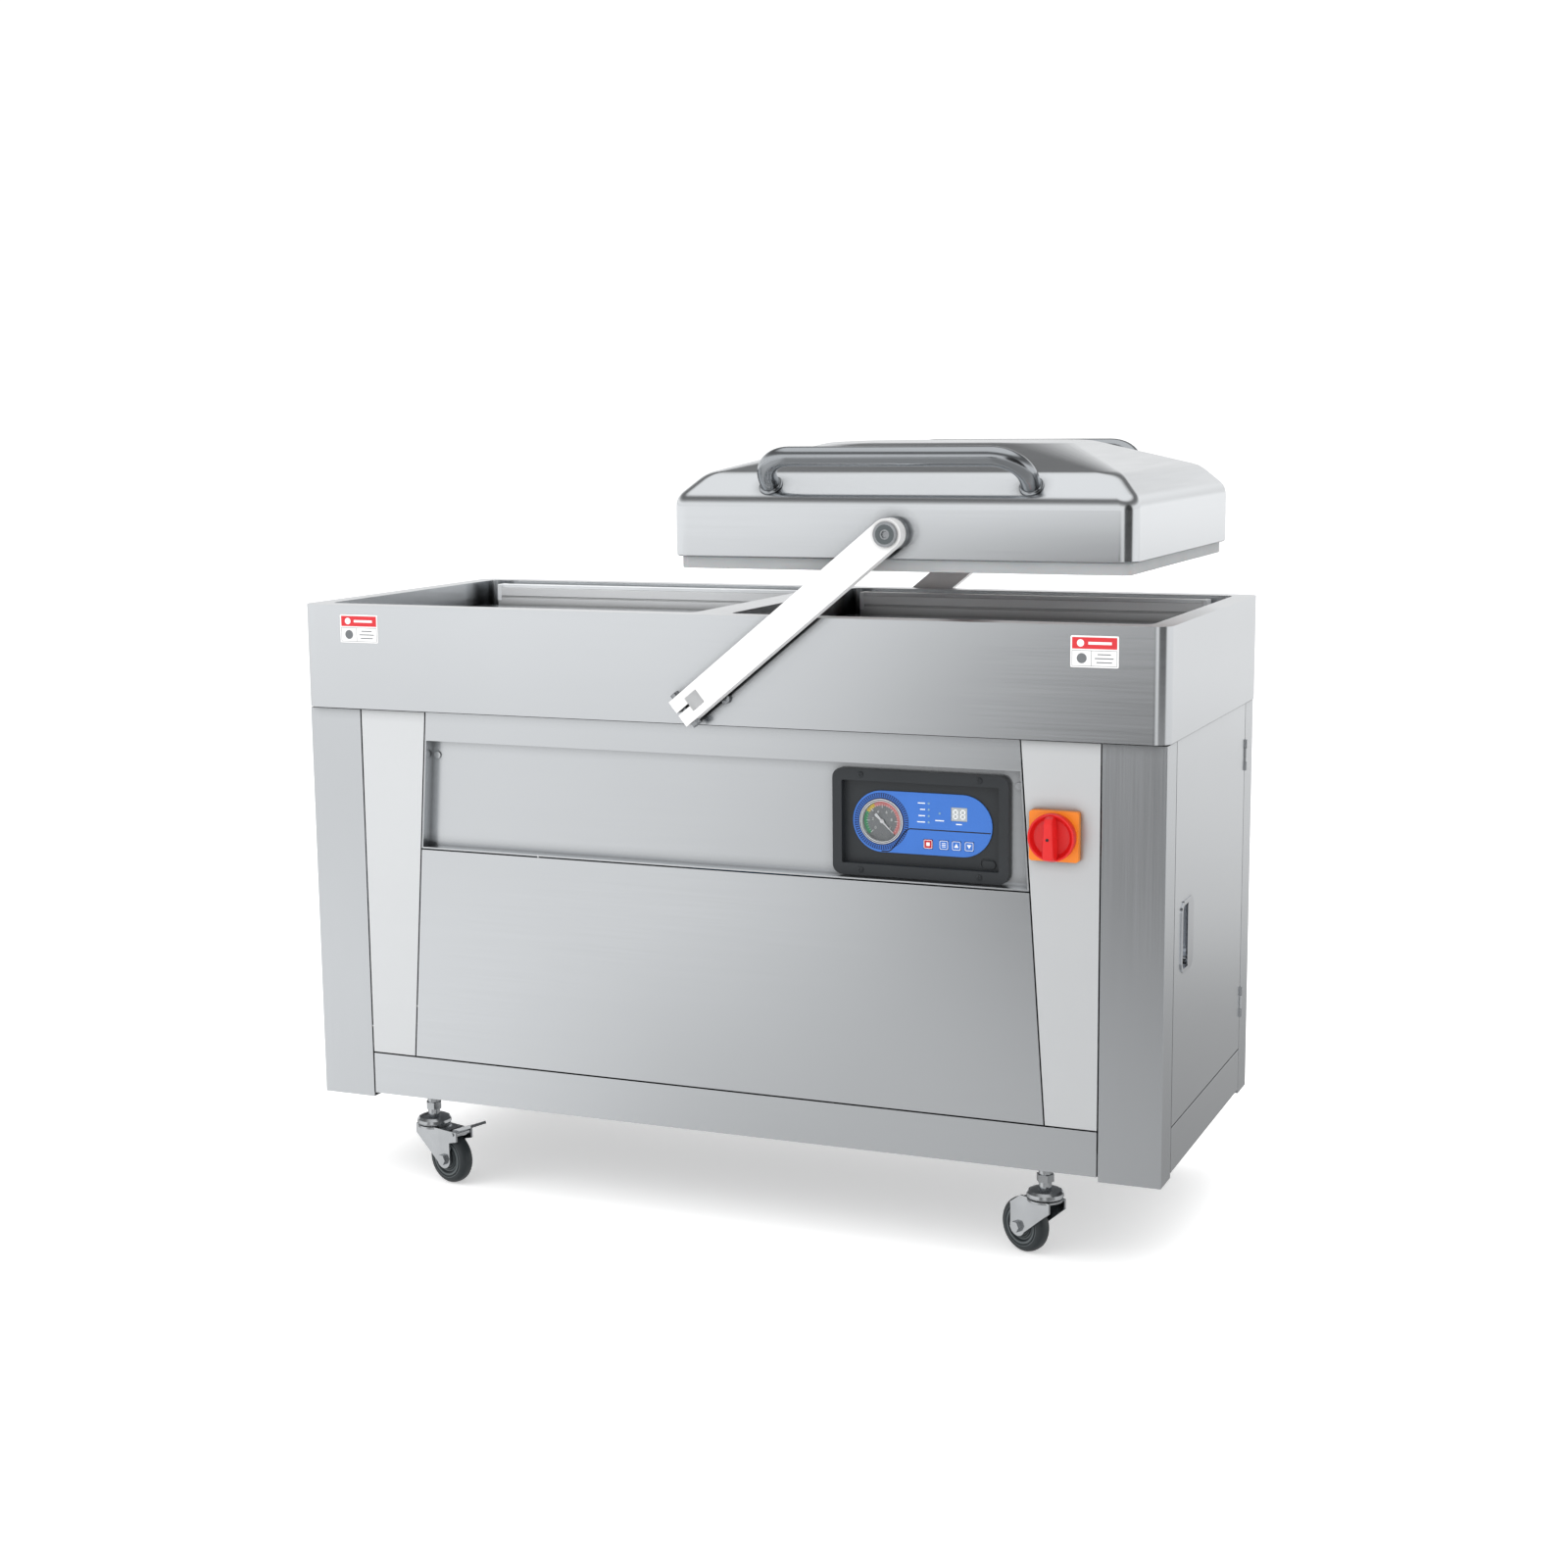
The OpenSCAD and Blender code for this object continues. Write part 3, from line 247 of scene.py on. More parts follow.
class Recipe:
    """A Principled material put together one node at a time."""

    def __init__(self, name, colour, rough, metal=0.0, **sockets):
        self.material = bpy.data.materials.new(name + "_finish")
        self.material.use_nodes = True
        self.tree = self.material.node_tree
        self.shader = self.tree.nodes["Principled BSDF"]
        self.colour = colour
        self.rough = rough
        self.shader.inputs["Base Color"].default_value = (*colour, 1)
        self.shader.inputs["Roughness"].default_value = rough
        self.shader.inputs["Metallic"].default_value = metal
        for socket, value in sockets.items():
            self.shader.inputs[socket.replace("_", " ")].default_value = value

    def node(self, kind, **settings):
        made = self.tree.nodes.new(kind)
        for key, value in settings.items():
            if key in made.inputs:
                made.inputs[key].default_value = value
            else:
                setattr(made, key, value)
        return made

    def link(self, source, target):
        self.tree.links.new(source, target)

    def noise(self, stretch, scale, detail=3.0):
        """Noise in the object's own metres, stretched by a scale for each axis."""
        place = self.node("ShaderNodeTexCoord")
        mapping = self.node("ShaderNodeMapping", Scale=stretch)
        self.link(place.outputs["Object"], mapping.inputs["Vector"])
        made = self.node("ShaderNodeTexNoise", Scale=scale, Detail=detail)
        self.link(mapping.outputs["Vector"], made.inputs["Vector"])
        return made.outputs["Fac"]

    def ranged(self, source, low, high):
        made = self.node("ShaderNodeMapRange")
        made.inputs["From Min"].default_value = 0.25
        made.inputs["From Max"].default_value = 0.75
        made.inputs["To Min"].default_value = low
        made.inputs["To Max"].default_value = high
        self.link(source, made.inputs["Value"])
        return made.outputs["Result"]

    def vary_rough(self, source, spread):
        self.link(self.ranged(source, self.rough - spread, self.rough + spread),
                  self.shader.inputs["Roughness"])

    def vary_colour(self, source, dark, light=1.0):
        """Multiplies the colour by a factor that runs from dark to light with the source."""
        mix = self.node("ShaderNodeMix", data_type="RGBA")
        mix.inputs["A"].default_value = (*(c * dark for c in self.colour), 1)
        mix.inputs["B"].default_value = (*(min(1, c * light) for c in self.colour), 1)
        self.link(self.ranged(source, 0.0, 1.0), mix.inputs["Factor"])
        self.link(mix.outputs["Result"], self.shader.inputs["Base Color"])

    def paint_crease_shade(self, reach, shut, clear, deepest):
        """Painted shade: darkens the colour where it is closed in by other surfaces within reach."""
        hidden = self.node("ShaderNodeAmbientOcclusion", samples=6, Distance=reach)
        shade = self.node("ShaderNodeMapRange")
        for socket, value in (("From Min", shut), ("From Max", clear), ("To Min", deepest)):
            shade.inputs[socket].default_value = value
        self.link(hidden.outputs["AO"], shade.inputs["Value"])
        mix = self.node("ShaderNodeMix", data_type="RGBA", blend_type="MULTIPLY")
        mix.inputs["Factor"].default_value = 1.0
        base = self.shader.inputs["Base Color"]
        self.link(base.links[0].from_socket, mix.inputs["A"])
        self.link(shade.outputs["Result"], mix.inputs["B"])
        self.link(mix.outputs["Result"], base)

    def bump(self, source, strength, depth):
        made = self.node("ShaderNodeBump", Strength=strength, Distance=depth)
        self.link(source, made.inputs["Height"])
        self.link(made.outputs["Normal"], self.shader.inputs["Normal"])


def brushed(name, colour, rough, lines=(6, 6, 420), anisotropy=0.2, metal=1.0, enclosed_shade=0.12,
            tight_shade=0.07):
    """Satin stainless: fine grinding lines, faint smudges, and painted shade that darkens it where it is closed
    in.
    """
    made = Recipe(name, colour, rough, metal, Anisotropic=anisotropy)
    grain = made.noise(lines, 1.0, 2.0)
    made.vary_rough(grain, 0.015)
    made.vary_colour(made.noise((1, 1, 1), 2.3, 4.0), 0.98, 1.02)
    # painted shade: darker colour in tight gaps and in spaces closed in by other parts
    made.paint_crease_shade(18 * MM, 0.2, 0.92, tight_shade)
    made.paint_crease_shade(150 * MM, 0.1, 0.7, enclosed_shade)
    made.bump(grain, 0.008, 0.0001)
    return made.material


def plain_metal(name, colour, rough, mottle=60.0, depth=0.0001, spread=0.06):
    """Zinc, aluminium or cast metal with a mottled skin."""
    made = Recipe(name, colour, rough, metal=1.0)
    speckle = made.noise((1, 1, 1), mottle, 4.0)
    made.vary_rough(speckle, spread)
    made.vary_colour(made.noise((1, 1, 1), mottle * 0.35, 3.0), 0.86, 1.06)
    made.bump(speckle, 0.12, depth)
    return made.material


def moulded(name, colour, rough, grain=900.0, strength=0.12, **sockets):
    """Moulded plastic, rubber or paint with a fine even texture."""
    made = Recipe(name, colour, rough, **sockets)
    fine = made.noise((1, 1, 1), grain, 2.0)
    made.vary_rough(fine, 0.05)
    made.vary_colour(made.noise((1, 1, 1), 14.0, 3.0), 0.92, 1.05)
    made.bump(fine, strength, 0.00015)
    return made.material


def film(name, colour, rough=0.42):
    """Printed film or ink: nearly even, with a very faint tooth."""
    made = Recipe(name, colour, rough)
    made.vary_rough(made.noise((1, 1, 1), 500.0, 2.0), 0.04)
    made.vary_colour(made.noise((1, 1, 1), 30.0, 2.0), 0.96, 1.02)
    return made.material


def clear_lens(name):
    made = Recipe(name, (1, 1, 1), 0.04, Transmission_Weight=1.0, IOR=1.3)
    made.vary_rough(made.noise((1, 1, 1), 40.0, 2.0), 0.02)
    return made.material


MATERIALS = {
    "satin_steel": brushed("satin_steel", (0.79, 0.815, 0.84), 0.2),
    # the satin steel again, with weaker painted shade in its gaps and closed-in spaces, for the recess panel
    "recess_steel": brushed("recess_steel", (0.79, 0.815, 0.84), 0.22, enclosed_shade=0.75, tight_shade=0.45),
    "dark_satin_steel": brushed("dark_satin_steel", (0.74, 0.765, 0.79), 0.22, (420, 420, 6)),
    # painted light: a lighter, partly non-metallic copy of the satin steel, so that the slanted panels look
    # brighter
    "light_satin_steel": brushed("light_satin_steel", (0.87, 0.89, 0.905), 0.34, metal=0.8),
    # near white and mostly non-metallic: the polished metal's bright sheen is painted into its colour
    "polished_steel": brushed("polished_steel", (0.9, 0.9, 0.9), 0.4, (200, 200, 200), 0.0, 0.2,
                              1.0),
    "handle_steel": brushed("handle_steel", (0.48, 0.505, 0.53), 0.2, (6, 300, 300), 0.1,
                            enclosed_shade=0.8),
    "bright_steel": plain_metal("bright_steel", (0.46, 0.48, 0.5), 0.24, 120.0),
    "ground_steel": plain_metal("ground_steel", (0.8, 0.81, 0.82), 0.4, 120.0),
    "chrome_trim": plain_metal("chrome_trim", (0.7, 0.72, 0.75), 0.12, 30.0, 0.00003, 0.03),
    "bar_aluminium": brushed("bar_aluminium", (0.9, 0.91, 0.92), 0.35, (8, 400, 400), metal=0.3,
                             enclosed_shade=0.75),
    "pipe_metal": plain_metal("pipe_metal", (0.6, 0.62, 0.64), 0.35, 80.0),
    "zinc_plate": plain_metal("zinc_plate", (0.6, 0.62, 0.64), 0.2, 45.0, 0.0006, 0.05),
    "painted_frame": moulded("painted_frame", (0.11, 0.115, 0.12), 0.5, 700.0, 0.2),
    "pump_paint": moulded("pump_paint", (0.05, 0.16, 0.3), 0.45, 500.0, 0.25),
    "motor_paint": moulded("motor_paint", (0.13, 0.16, 0.18), 0.45, 500.0, 0.25),
    "black_plastic": moulded("black_plastic", (0.025, 0.029, 0.033), 0.4, 1500.0, 0.12),
    "wheel_rubber": moulded("wheel_rubber", (0.019, 0.025, 0.028), 0.42, 600.0, 0.15),
    "gauge_white": moulded("gauge_white", (0.82, 0.84, 0.86), 0.3, 900.0, 0.03),
    "display_window": film("display_window", (0.4, 0.43, 0.44), 0.25),
    "lamp_lens": moulded("lamp_lens", (0.2, 0.36, 0.5), 0.25, 900.0, 0.03),
    "stop_key": film("stop_key", (0.5, 0.012, 0.02), 0.38),
    "blue_keys": film("blue_keys", (0.035, 0.16, 0.56), 0.38),
    "blue_film": film("blue_film", (0.035, 0.16, 0.56), 0.38),
    "switch_yellow": moulded("switch_yellow", (0.83, 0.23, 0.01), 0.38, 1200.0, 0.08),
    "switch_red": moulded("switch_red", (0.68, 0.012, 0.012), 0.34, 1200.0, 0.08),
    "label_film": film("label_film", (0.84, 0.84, 0.84), 0.4),
    "gasket_silicone": moulded("gasket_silicone", (0.36, 0.375, 0.385), 0.4, 300.0, 0.08,
                               Subsurface_Weight=0.15),
    "pad_silicone": moulded("pad_silicone", (0.42, 0.07, 0.05), 0.5, 300.0, 0.15),
    "clear_lens": clear_lens("clear_lens"),
    "print_white": film("print_white", (0.86, 0.88, 0.9)),
    "print_navy": film("print_navy", (0.01, 0.03, 0.13)),
    "print_black": film("print_black", (0.015, 0.017, 0.02)),
    "print_red": film("print_red", (0.66, 0.025, 0.035)),
    "print_pink": film("print_pink", (0.66, 0.2, 0.2)),
    "print_green": film("print_green", (0.02, 0.32, 0.12)),
    "print_yellow": film("print_yellow", (0.7, 0.5, 0.03)),
    "print_dial": film("print_dial", (0.2, 0.215, 0.225), 0.5),
    # grey for the label prints, and for the painted dark reflection on the front of the gauge rim
    "grey_print_and_painted_rim_reflection": film("grey_print_and_painted_rim_reflection", (0.16, 0.17, 0.18)),
    # grey for the painted highlights on the wheel hubs, and the pivot washers' own colour
    "hub_highlight_and_washer_grey": film("hub_highlight_and_washer_grey", (0.085, 0.1, 0.105)),
}

# ---- CAD nodes that keep their shape and get their edges rounded ----

ROUNDING = {
    "tub": 1.6, "corner_posts": 0.4, "kick_panels": 0.35, "slant_panels": 0.3,
    "recess_panel": 0.3, "front_panel": 0.3, "rear_panel": 0.3, "side_panel_left": 0.3,
    "door_right": 0.3, "door_pull": 0.7, "control_bezel": 1.4, "control_housing": 0.5,
    "membrane_panel": 0.3, "arm_front": 1.4, "arm_rear": 1.4, "lid_gasket": 1.5,
    "table_plates": 0.8, "switch_plate": 1.2, "press_pads": 0.6, "vacuum_pump": 2.0,
    "base_frame": 0.4, "gauge_case": 0.5, "rim_labels": 0.0, "display": 0.3,
    "bar_guides": 0.4, "bar_left_front": 0.35, "bar_left_rear": 0.35, "bar_right_front": 0.35,
    "bar_right_rear": 0.35,
}
USUAL_ROUNDING = 0.35
FINISHES = {"swing_shaft": "ground_steel", "recess_panel": "recess_steel"}
BUILT_HERE = {"lid_shell", "lid_handles", "switch_knob", "gauge_needle"}
BUILT_HERE |= {node for node in nodes if node.startswith("wheel_")}

for node in sorted(set(nodes) - BUILT_HERE):
    width = ROUNDING.get(node, USUAL_ROUNDING) * MM
    add_piece(node + "_skin", refined(node, width), body_of[node], slot_of[node], (node,),
              finish=FINISHES.get(node))


# ---- lid ----

def lid_mesh():
    """Pressed lid: upright wall, narrow bevel, long shallow slopes and a small flat crown."""
    low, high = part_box("lid_shell")
    half_w, half_d = (high.x - low.x) / 2, (high.y - low.y) / 2
    middle = (low + high) / 2
    wall_top = high.z - 69 * MM
    bevel = 31 * MM
    crown_w, crown_d = 170 * MM, 120 * MM
    skin = 2.5 * MM
    flange = 22 * MM
    # each level: (inset from the wall at the sides, inset at the front, height)
    levels = [
        (0, 0, low.z + 1.5 * MM),
        (0, 0, wall_top),
        (bevel, bevel, wall_top + bevel),
        (half_w - crown_w, half_d - crown_d, high.z),
        (half_w - 30 * MM, half_d - 20 * MM, high.z)]
    outer = filleted(levels, 13 * MM, 6)
    radius = 22 * MM

    def corner(level):
        """Corner radius at a level: the ridges grow rounder towards the crown."""
        climb = max(0, (level[2] - wall_top - bevel) / (high.z - wall_top - bevel))
        return min(radius + climb * 60 * MM, half_w - level[0] - 4 * MM,
                   half_d - level[1] - 4 * MM)

    rings = [ring_of(half_w - 1.5 * MM, half_d - 1.5 * MM, radius, low.z)]
    rings += [ring_of(half_w - p[0], half_d - p[1], corner(p), p[2]) for p in outer]
    inner = [ring_of(half_w - p[0] - skin, half_d - p[1] - skin, corner(p) - skin, p[2] - skin)
             for p in outer[1:]]
    mouth = [ring_of(half_w - flange, half_d - flange, 8 * MM, low.z + z * MM) for z in (0, 3)]
    inside_foot = ring_of(half_w - skin, half_d - skin, radius - skin, low.z + 3 * MM)
    mesh = loft("lid_shell_skin", list(reversed(inner)) + [inside_foot, mouth[1], mouth[0]] + rings)
    return placed(mesh, Matrix.Translation((middle.x, middle.y, 0)))


def handle_mesh():
    """Two bent tube grips on the front and rear bevels, with welded collars at their feet."""
    low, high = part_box("lid_shell")
    grip_low, grip_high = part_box("lid_handles")
    tube = 12.75 * MM
    collar = tube + 3 * MM
    half = (grip_high.x - grip_low.x) / 2 - collar
    bend, rise = 42 * MM, 55 * MM
    wall_top = high.z - 69 * MM
    parts = []
    for side in (-1, 1):
        path = [Vector((-half, 0, -1.5 * MM)), Vector((-half, 0, rise - bend))]
        turn = 14
        for k in range(1, turn + 1):
            a = math.radians(90 * k / turn)
            path.append(Vector((-half + bend - bend * math.cos(a), 0,
                                rise - bend + bend * math.sin(a))))
        path += [Vector((-p.x, p.y, p.z)) for p in reversed(path)]
        grip = [swept_tube("grip", path, tube)]
        for foot in (-half, half):
            bead = [(tube - MM, -MM), (collar, -MM), (collar, 1.6 * MM), (tube + 1.4 * MM, 2.6 * MM),
                    (tube + 0.6 * MM, 4.2 * MM), (tube - MM, 4.4 * MM)]
            grip.append(placed(lathe("bead", bead, 64, closed=True),
                               Matrix.Translation((foot, 0, 0))))
        seat = Matrix.Translation(((low.x + high.x) / 2, side * (high.y - 15.5 * MM),
                                   wall_top + 15.5 * MM))
        parts.append(placed(joined("grip", grip),
                            seat @ Matrix.Rotation(math.radians(-45 * side), 4, "X")))
    return joined("lid_handles_skin", parts)


add_piece("lid_shell_skin", lid_mesh(), "lid", "satin_steel", ("lid_shell",), angle=50)
add_piece("lid_handles_skin", handle_mesh(), "lid", "handle_steel", ("lid_handles",))


# ---- wheels ----

def wheel_mesh(name):
    """A solid tyre on a ribbed hub, turned about its axle."""
    tyre = 37.5 * MM
    # (radius, distance from the wheel's middle plane) in millimetres
    side = [
        (5.1, 13.1), (9.6, 13.1), (10.6, 12.2), (11.2, 8.6), (14.6, 8.2), (15.4, 9.4), (16.6, 9.4),
        (17.4, 8.2), (20.2, 8.4), (21.0, 9.9), (22.4, 10.8), (25.4, 10.8), (26.0, 10.1),
        (27.0, 10.1), (27.6, 10.9), (30.5, 10.9), (34.2, 9.2), (36.6, 6.0), (37.3, 2.6)]
    half = [(r * MM, h * MM) for r, h in side]
    outline = half + [(tyre, 0)] + [(r, -h) for r, h in reversed(half)]
    path = [(p.x, p.y) for p in filleted([(r, h, 0) for r, h in outline], 1.2 * MM, 3)]
    return lathe(name, path, 112, closed=True)


# (inner radius, outer radius, height) of the grey rings in the grooves of the hub, in millimetres: painted
# highlights, lighter than the rubber
HUB_HIGHLIGHT_BANDS = ((11.8, 13.4, 8.4), (15.6, 16.5, 9.5), (18.2, 19.8, 8.4), (22.7, 25.2, 10.9),
             (27.9, 28.7, 10.95))
HIGHLIGHT_BAND_RISE = 0.12


def painted_hub_highlights(name):
    """The grey rings on both faces of a hub: painted highlights."""
    highlight_bands = []
    for side in (-1, 1):
        for inner, outer, level in HUB_HIGHLIGHT_BANDS:
            section = ((inner, level), (outer, level), (outer, level + HIGHLIGHT_BAND_RISE),
                       (inner, level + HIGHLIGHT_BAND_RISE))
            band = lathe("band", [(r * MM, h * MM) for r, h in section], 96, closed=True)
            if side < 0:
                placed(band, Matrix.Rotation(math.pi, 4, "X"))
            highlight_bands.append(band)
    return joined(name, highlight_bands)


for corner in ("front_left", "front_right", "rear_left", "rear_right"):
    hub, axle = joint("spin_" + corner)
    seat, roller = frame_at(hub, axle), "roller_" + corner
    # grey rings on the hub: painted highlights
    highlight_bands = placed(painted_hub_highlights("painted_hub_highlights_" + corner), seat)
    add_piece("painted_hub_highlights_" + corner, highlight_bands, roller, "hub_highlight_and_washer_grey")
    wheel = placed(wheel_mesh("wheel_" + corner + "_skin"), seat)
    add_piece("wheel_" + corner + "_skin", wheel, roller, "wheel_rubber", ("wheel_" + corner,),
              angle=40)


# ---- main switch ----

def knob_mesh():
    """A dished round knob with a tapered grip bar across it."""
    low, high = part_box("switch_knob")
    outer = (high.x - low.x) / 2
    skirt_back = -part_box("switch_plate")[0].y - MM
    face = skirt_back + 15 * MM
    dish = face - 7 * MM
    profile = filleted([
        (0, dish, 0), (outer - 7 * MM, dish, 0), (outer - 3 * MM, face, 0),
        (outer - 0.5 * MM, face, 0), (outer, face - 6 * MM, 0), (outer - MM, skirt_back, 0),
        (0, skirt_back, 0)], 1.6 * MM, 4)
    disc = lathe("disc", [(p.x, p.y) for p in profile], 96)
    # the bar's sections run from its narrow top end to its wide foot
    top = -low.y
    sections = []
    length = outer * 0.93
    for along, half, height in ((0.98, 4.2, 0.55), (0.9, 5.2, 0.86), (0.7, 5.8, 1.0), (0.1, 6.4, 1.0),
                                (-0.6, 7.2, 1.0), (-0.9, 7.4, 0.94), (-1.0, 6.6, 0.6)):
        crest = dish - MM + (top - dish + MM) * height
        chamfer = 2.2 * MM
        half *= MM
        sections.append([Vector((x, along * length, z)) for x, z in (
            (-half - 1.4 * MM, dish - MM), (-half, crest - chamfer), (-half + chamfer * 0.8, crest),
            (half - chamfer * 0.8, crest), (half, crest - chamfer), (half + 1.4 * MM, dish - MM))])
    bar = loft("bar", sections)
    bm = bmesh.new()
    bm.from_mesh(bar)
    edges = [e for e in bm.edges if e.calc_face_angle() > math.radians(25)]
    bmesh.ops.bevel(bm, geom=edges, offset=0.9 * MM, segments=3, profile=0.5, affect="EDGES",
                    clamp_overlap=True)
    bm.to_mesh(bar)
    bm.free()
    stem = lathe("stem", [(0, skirt_back), (4 * MM, skirt_back), (4 * MM, skirt_back - 32 * MM),
                          (0, skirt_back - 32 * MM)], 32)
    return joined("switch_knob_skin", [disc, bar, stem])


switch_at, _ = joint("switch_turn")
facing = facing_front(switch_at.x, 0, switch_at.z)
add_piece("switch_knob_skin", placed(knob_mesh(), facing), "main_switch", "switch_red",
          ("switch_knob",))


def ring_profile(inner, outer, low, high, soft):
    """Section of a flat ring with soft corners."""
    points = [(inner, low), (outer, low), (outer, high), (inner, high), (inner, low)]
    return [(p.x, p.y) for p in filleted([(r, h, 0) for r, h in points], soft, 3)][1:-1]


knob_low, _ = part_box("switch_knob")
screw_r, screw_rise = 2 * MM, 0.3 * MM
screw = lathe("switch_screw_print", [(0, screw_rise), (screw_r, screw_rise), (screw_r, -MM), (0, -MM)],
              32)
placed(screw, facing_front(switch_at.x, knob_low.y, switch_at.z))
add_piece("switch_screw_print", screw, "main_switch", "print_black")
plate_low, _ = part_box("switch_plate")
front = -plate_low.y
collar = lathe("switch_collar", ring_profile(24 * MM, 31.6 * MM, front - 0.4 * MM, front + 0.9 * MM,
                                             0.4 * MM), 96, closed=True)
add_piece("switch_collar", placed(collar, facing), "cabinet", "switch_yellow")


# ---- flat prints and small trim that face the operator ----

def slab(outline, y, thick, hole=None):
    """A thin plate from a list of (x, z) points, its front face at y."""
    count = len(outline)
    verts = [(x, y, z) for x, z in outline] + [(x, y + thick, z) for x, z in outline]
    faces = [tuple(range(count)), tuple(range(2 * count - 1, count - 1, -1))]
    faces += [(k, (k + 1) % count, count + (k + 1) % count, count + k) for k in range(count)]
    if hole:
        verts += [(x, y, z) for x, z in hole] + [(x, y + thick, z) for x, z in hole]
        a, b = 2 * count, 3 * count
        faces = []
        for k in range(count):
            n = (k + 1) % count
            faces += [(k, n, a + n, a + k), (count + k, count + n, b + n, b + k),
                      (k, n, count + n, count + k), (a + k, a + n, b + n, b + k)]
    return mesh_from("slab", verts, faces)


def sector(cx, cz, inner, outer, start, end, steps=24):
    """Outline of part of a flat ring, between two angles in degrees."""
    angles = [math.radians(start + (end - start) * k / steps) for k in range(steps + 1)]
    return ([(cx + outer * math.cos(a), cz + outer * math.sin(a)) for a in angles]
            + [(cx + inner * math.cos(a), cz + inner * math.sin(a)) for a in reversed(angles)])


def disc_outline(cx, cz, radius, steps=64):
    return [(cx + radius * math.cos(math.tau * k / steps), cz + radius * math.sin(math.tau * k / steps))
            for k in range(steps)]


def box_outline(cx, cz, w, h, radius=0.0, steps=5):
    if radius <= 0:
        return [(cx - w / 2, cz - h / 2), (cx + w / 2, cz - h / 2),
                (cx + w / 2, cz + h / 2), (cx - w / 2, cz + h / 2)]
    return [(cx + p.x, cz + p.y) for p in ring_of(w / 2, h / 2, radius, 0, steps)]


def bar_outline(x0, z0, x1, z1, width):
    """A straight stroke between two points."""
    along = Vector((x1 - x0, z1 - z0))
    side = Vector((-along.y, along.x)).normalized() * width / 2
    return [(x0 + side.x, z0 + side.y), (x0 - side.x, z0 - side.y),
            (x1 - side.x, z1 - side.y), (x1 + side.x, z1 + side.y)]


def print_group(name, slot, slabs, body="cabinet"):
    add_piece(name, joined(name, slabs), body, slot)


FILM = 0.12 * MM       # how far a print stands proud
PRINT = FILM * 1.5     # thickness of a print, so that it also sinks into what it is printed on
fascia_low, fascia_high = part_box("membrane_panel")
fascia_y = fascia_low.y - FILM
needle_at, _ = joint("needle_turn")
gx, gz = needle_at.x, needle_at.z    # the gauge's centre

def ring_prints():
    """Ribs printed round the gauge, between an inner and an outer line."""
    rib_in, rib_out, rib_w = 32.6 * MM, 37.4 * MM, 1.8 * MM
    rib_count = 72
    ribs = []
    for k in range(rib_count):
        a = math.tau * k / rib_count
        c, s = math.cos(a), math.sin(a)
        ribs.append(slab(bar_outline(gx + rib_in * c, gz + rib_in * s,
                                     gx + rib_out * c, gz + rib_out * s, rib_w), fascia_y, PRINT))
    for inner, outer in ((rib_out, 38 * MM), (30.1 * MM, 32 * MM)):
        ribs.append(slab(disc_outline(gx, gz, outer), fascia_y, PRINT, disc_outline(gx, gz, inner)))
    return ribs


def divider_line():
    """The dark line that rises from under the gauge and runs to the right."""
    left, bend, right = gx + 8 * MM, gx + 41 * MM, fascia_high.x - 2.0 * MM
    low, high = fascia_low.z + 1.4 * MM, gz - 7.5 * MM
    steps = 20
    centre_line = [(left - 8 * MM, low)]
    for k in range(steps + 1):
        t = k / steps
        centre_line.append((left + (bend - left) * t, low + (high - low) * (3 * t * t - 2 * t ** 3)))
    centre_line.append((right, high))
    half = 0.75 * MM
    upper, lower = [], []
    for k, (x, z) in enumerate(centre_line):
        before = centre_line[max(k - 1, 0)]
        after = centre_line[min(k + 1, len(centre_line) - 1)]
        run, rise = after[0] - before[0], after[1] - before[1]
        size = math.hypot(run, rise)
        upper.append((x - rise / size * half, z + run / size * half))
        lower.append((x + rise / size * half, z - run / size * half))
    meshes = []
    for k in range(len(centre_line) - 1):
        meshes.append(slab([lower[k], lower[k + 1], upper[k + 1], upper[k]], fascia_y, PRINT))
    return meshes


def key_marks(name):
    """Outline of a key, with a square, three bars or a triangle in it."""
    low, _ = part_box("button_" + name)
    at = centre("button_" + name)
    x, z, y = at.x, at.z, low.y - FILM
    outer = box_outline(x, z, 11.4 * MM, 11.4 * MM, 1.8 * MM)
    inner = box_outline(x, z, 10.2 * MM, 10.2 * MM, 1.2 * MM)
    marks = [slab(outer, y, PRINT, inner)]
    if name == "stop":
        marks.append(slab(box_outline(x, z, 4.6 * MM, 4.6 * MM), y, PRINT))
    if name == "set":
        marks += [slab(bar_outline(x - 2.8 * MM, z + d * MM, x + 2.8 * MM, z + d * MM, 0.9 * MM),
                       y, PRINT) for d in (-2.2, 0, 2.2)]
    if name in ("up", "down"):
        tip = 2.9 * MM if name == "up" else -2.9 * MM
        marks.append(slab([(x, z + tip), (x - 3 * MM, z - tip * 0.8), (x + 3 * MM, z - tip * 0.8)],
                          y, PRINT))
    return marks


print_group("fascia_ring_print", "print_navy", ring_prints())
print_group("fascia_divider_print", "print_black", divider_line())
for name in ("stop", "set", "up", "down"):
    print_group("key_" + name + "_print", "print_white", key_marks(name), name + "_button")

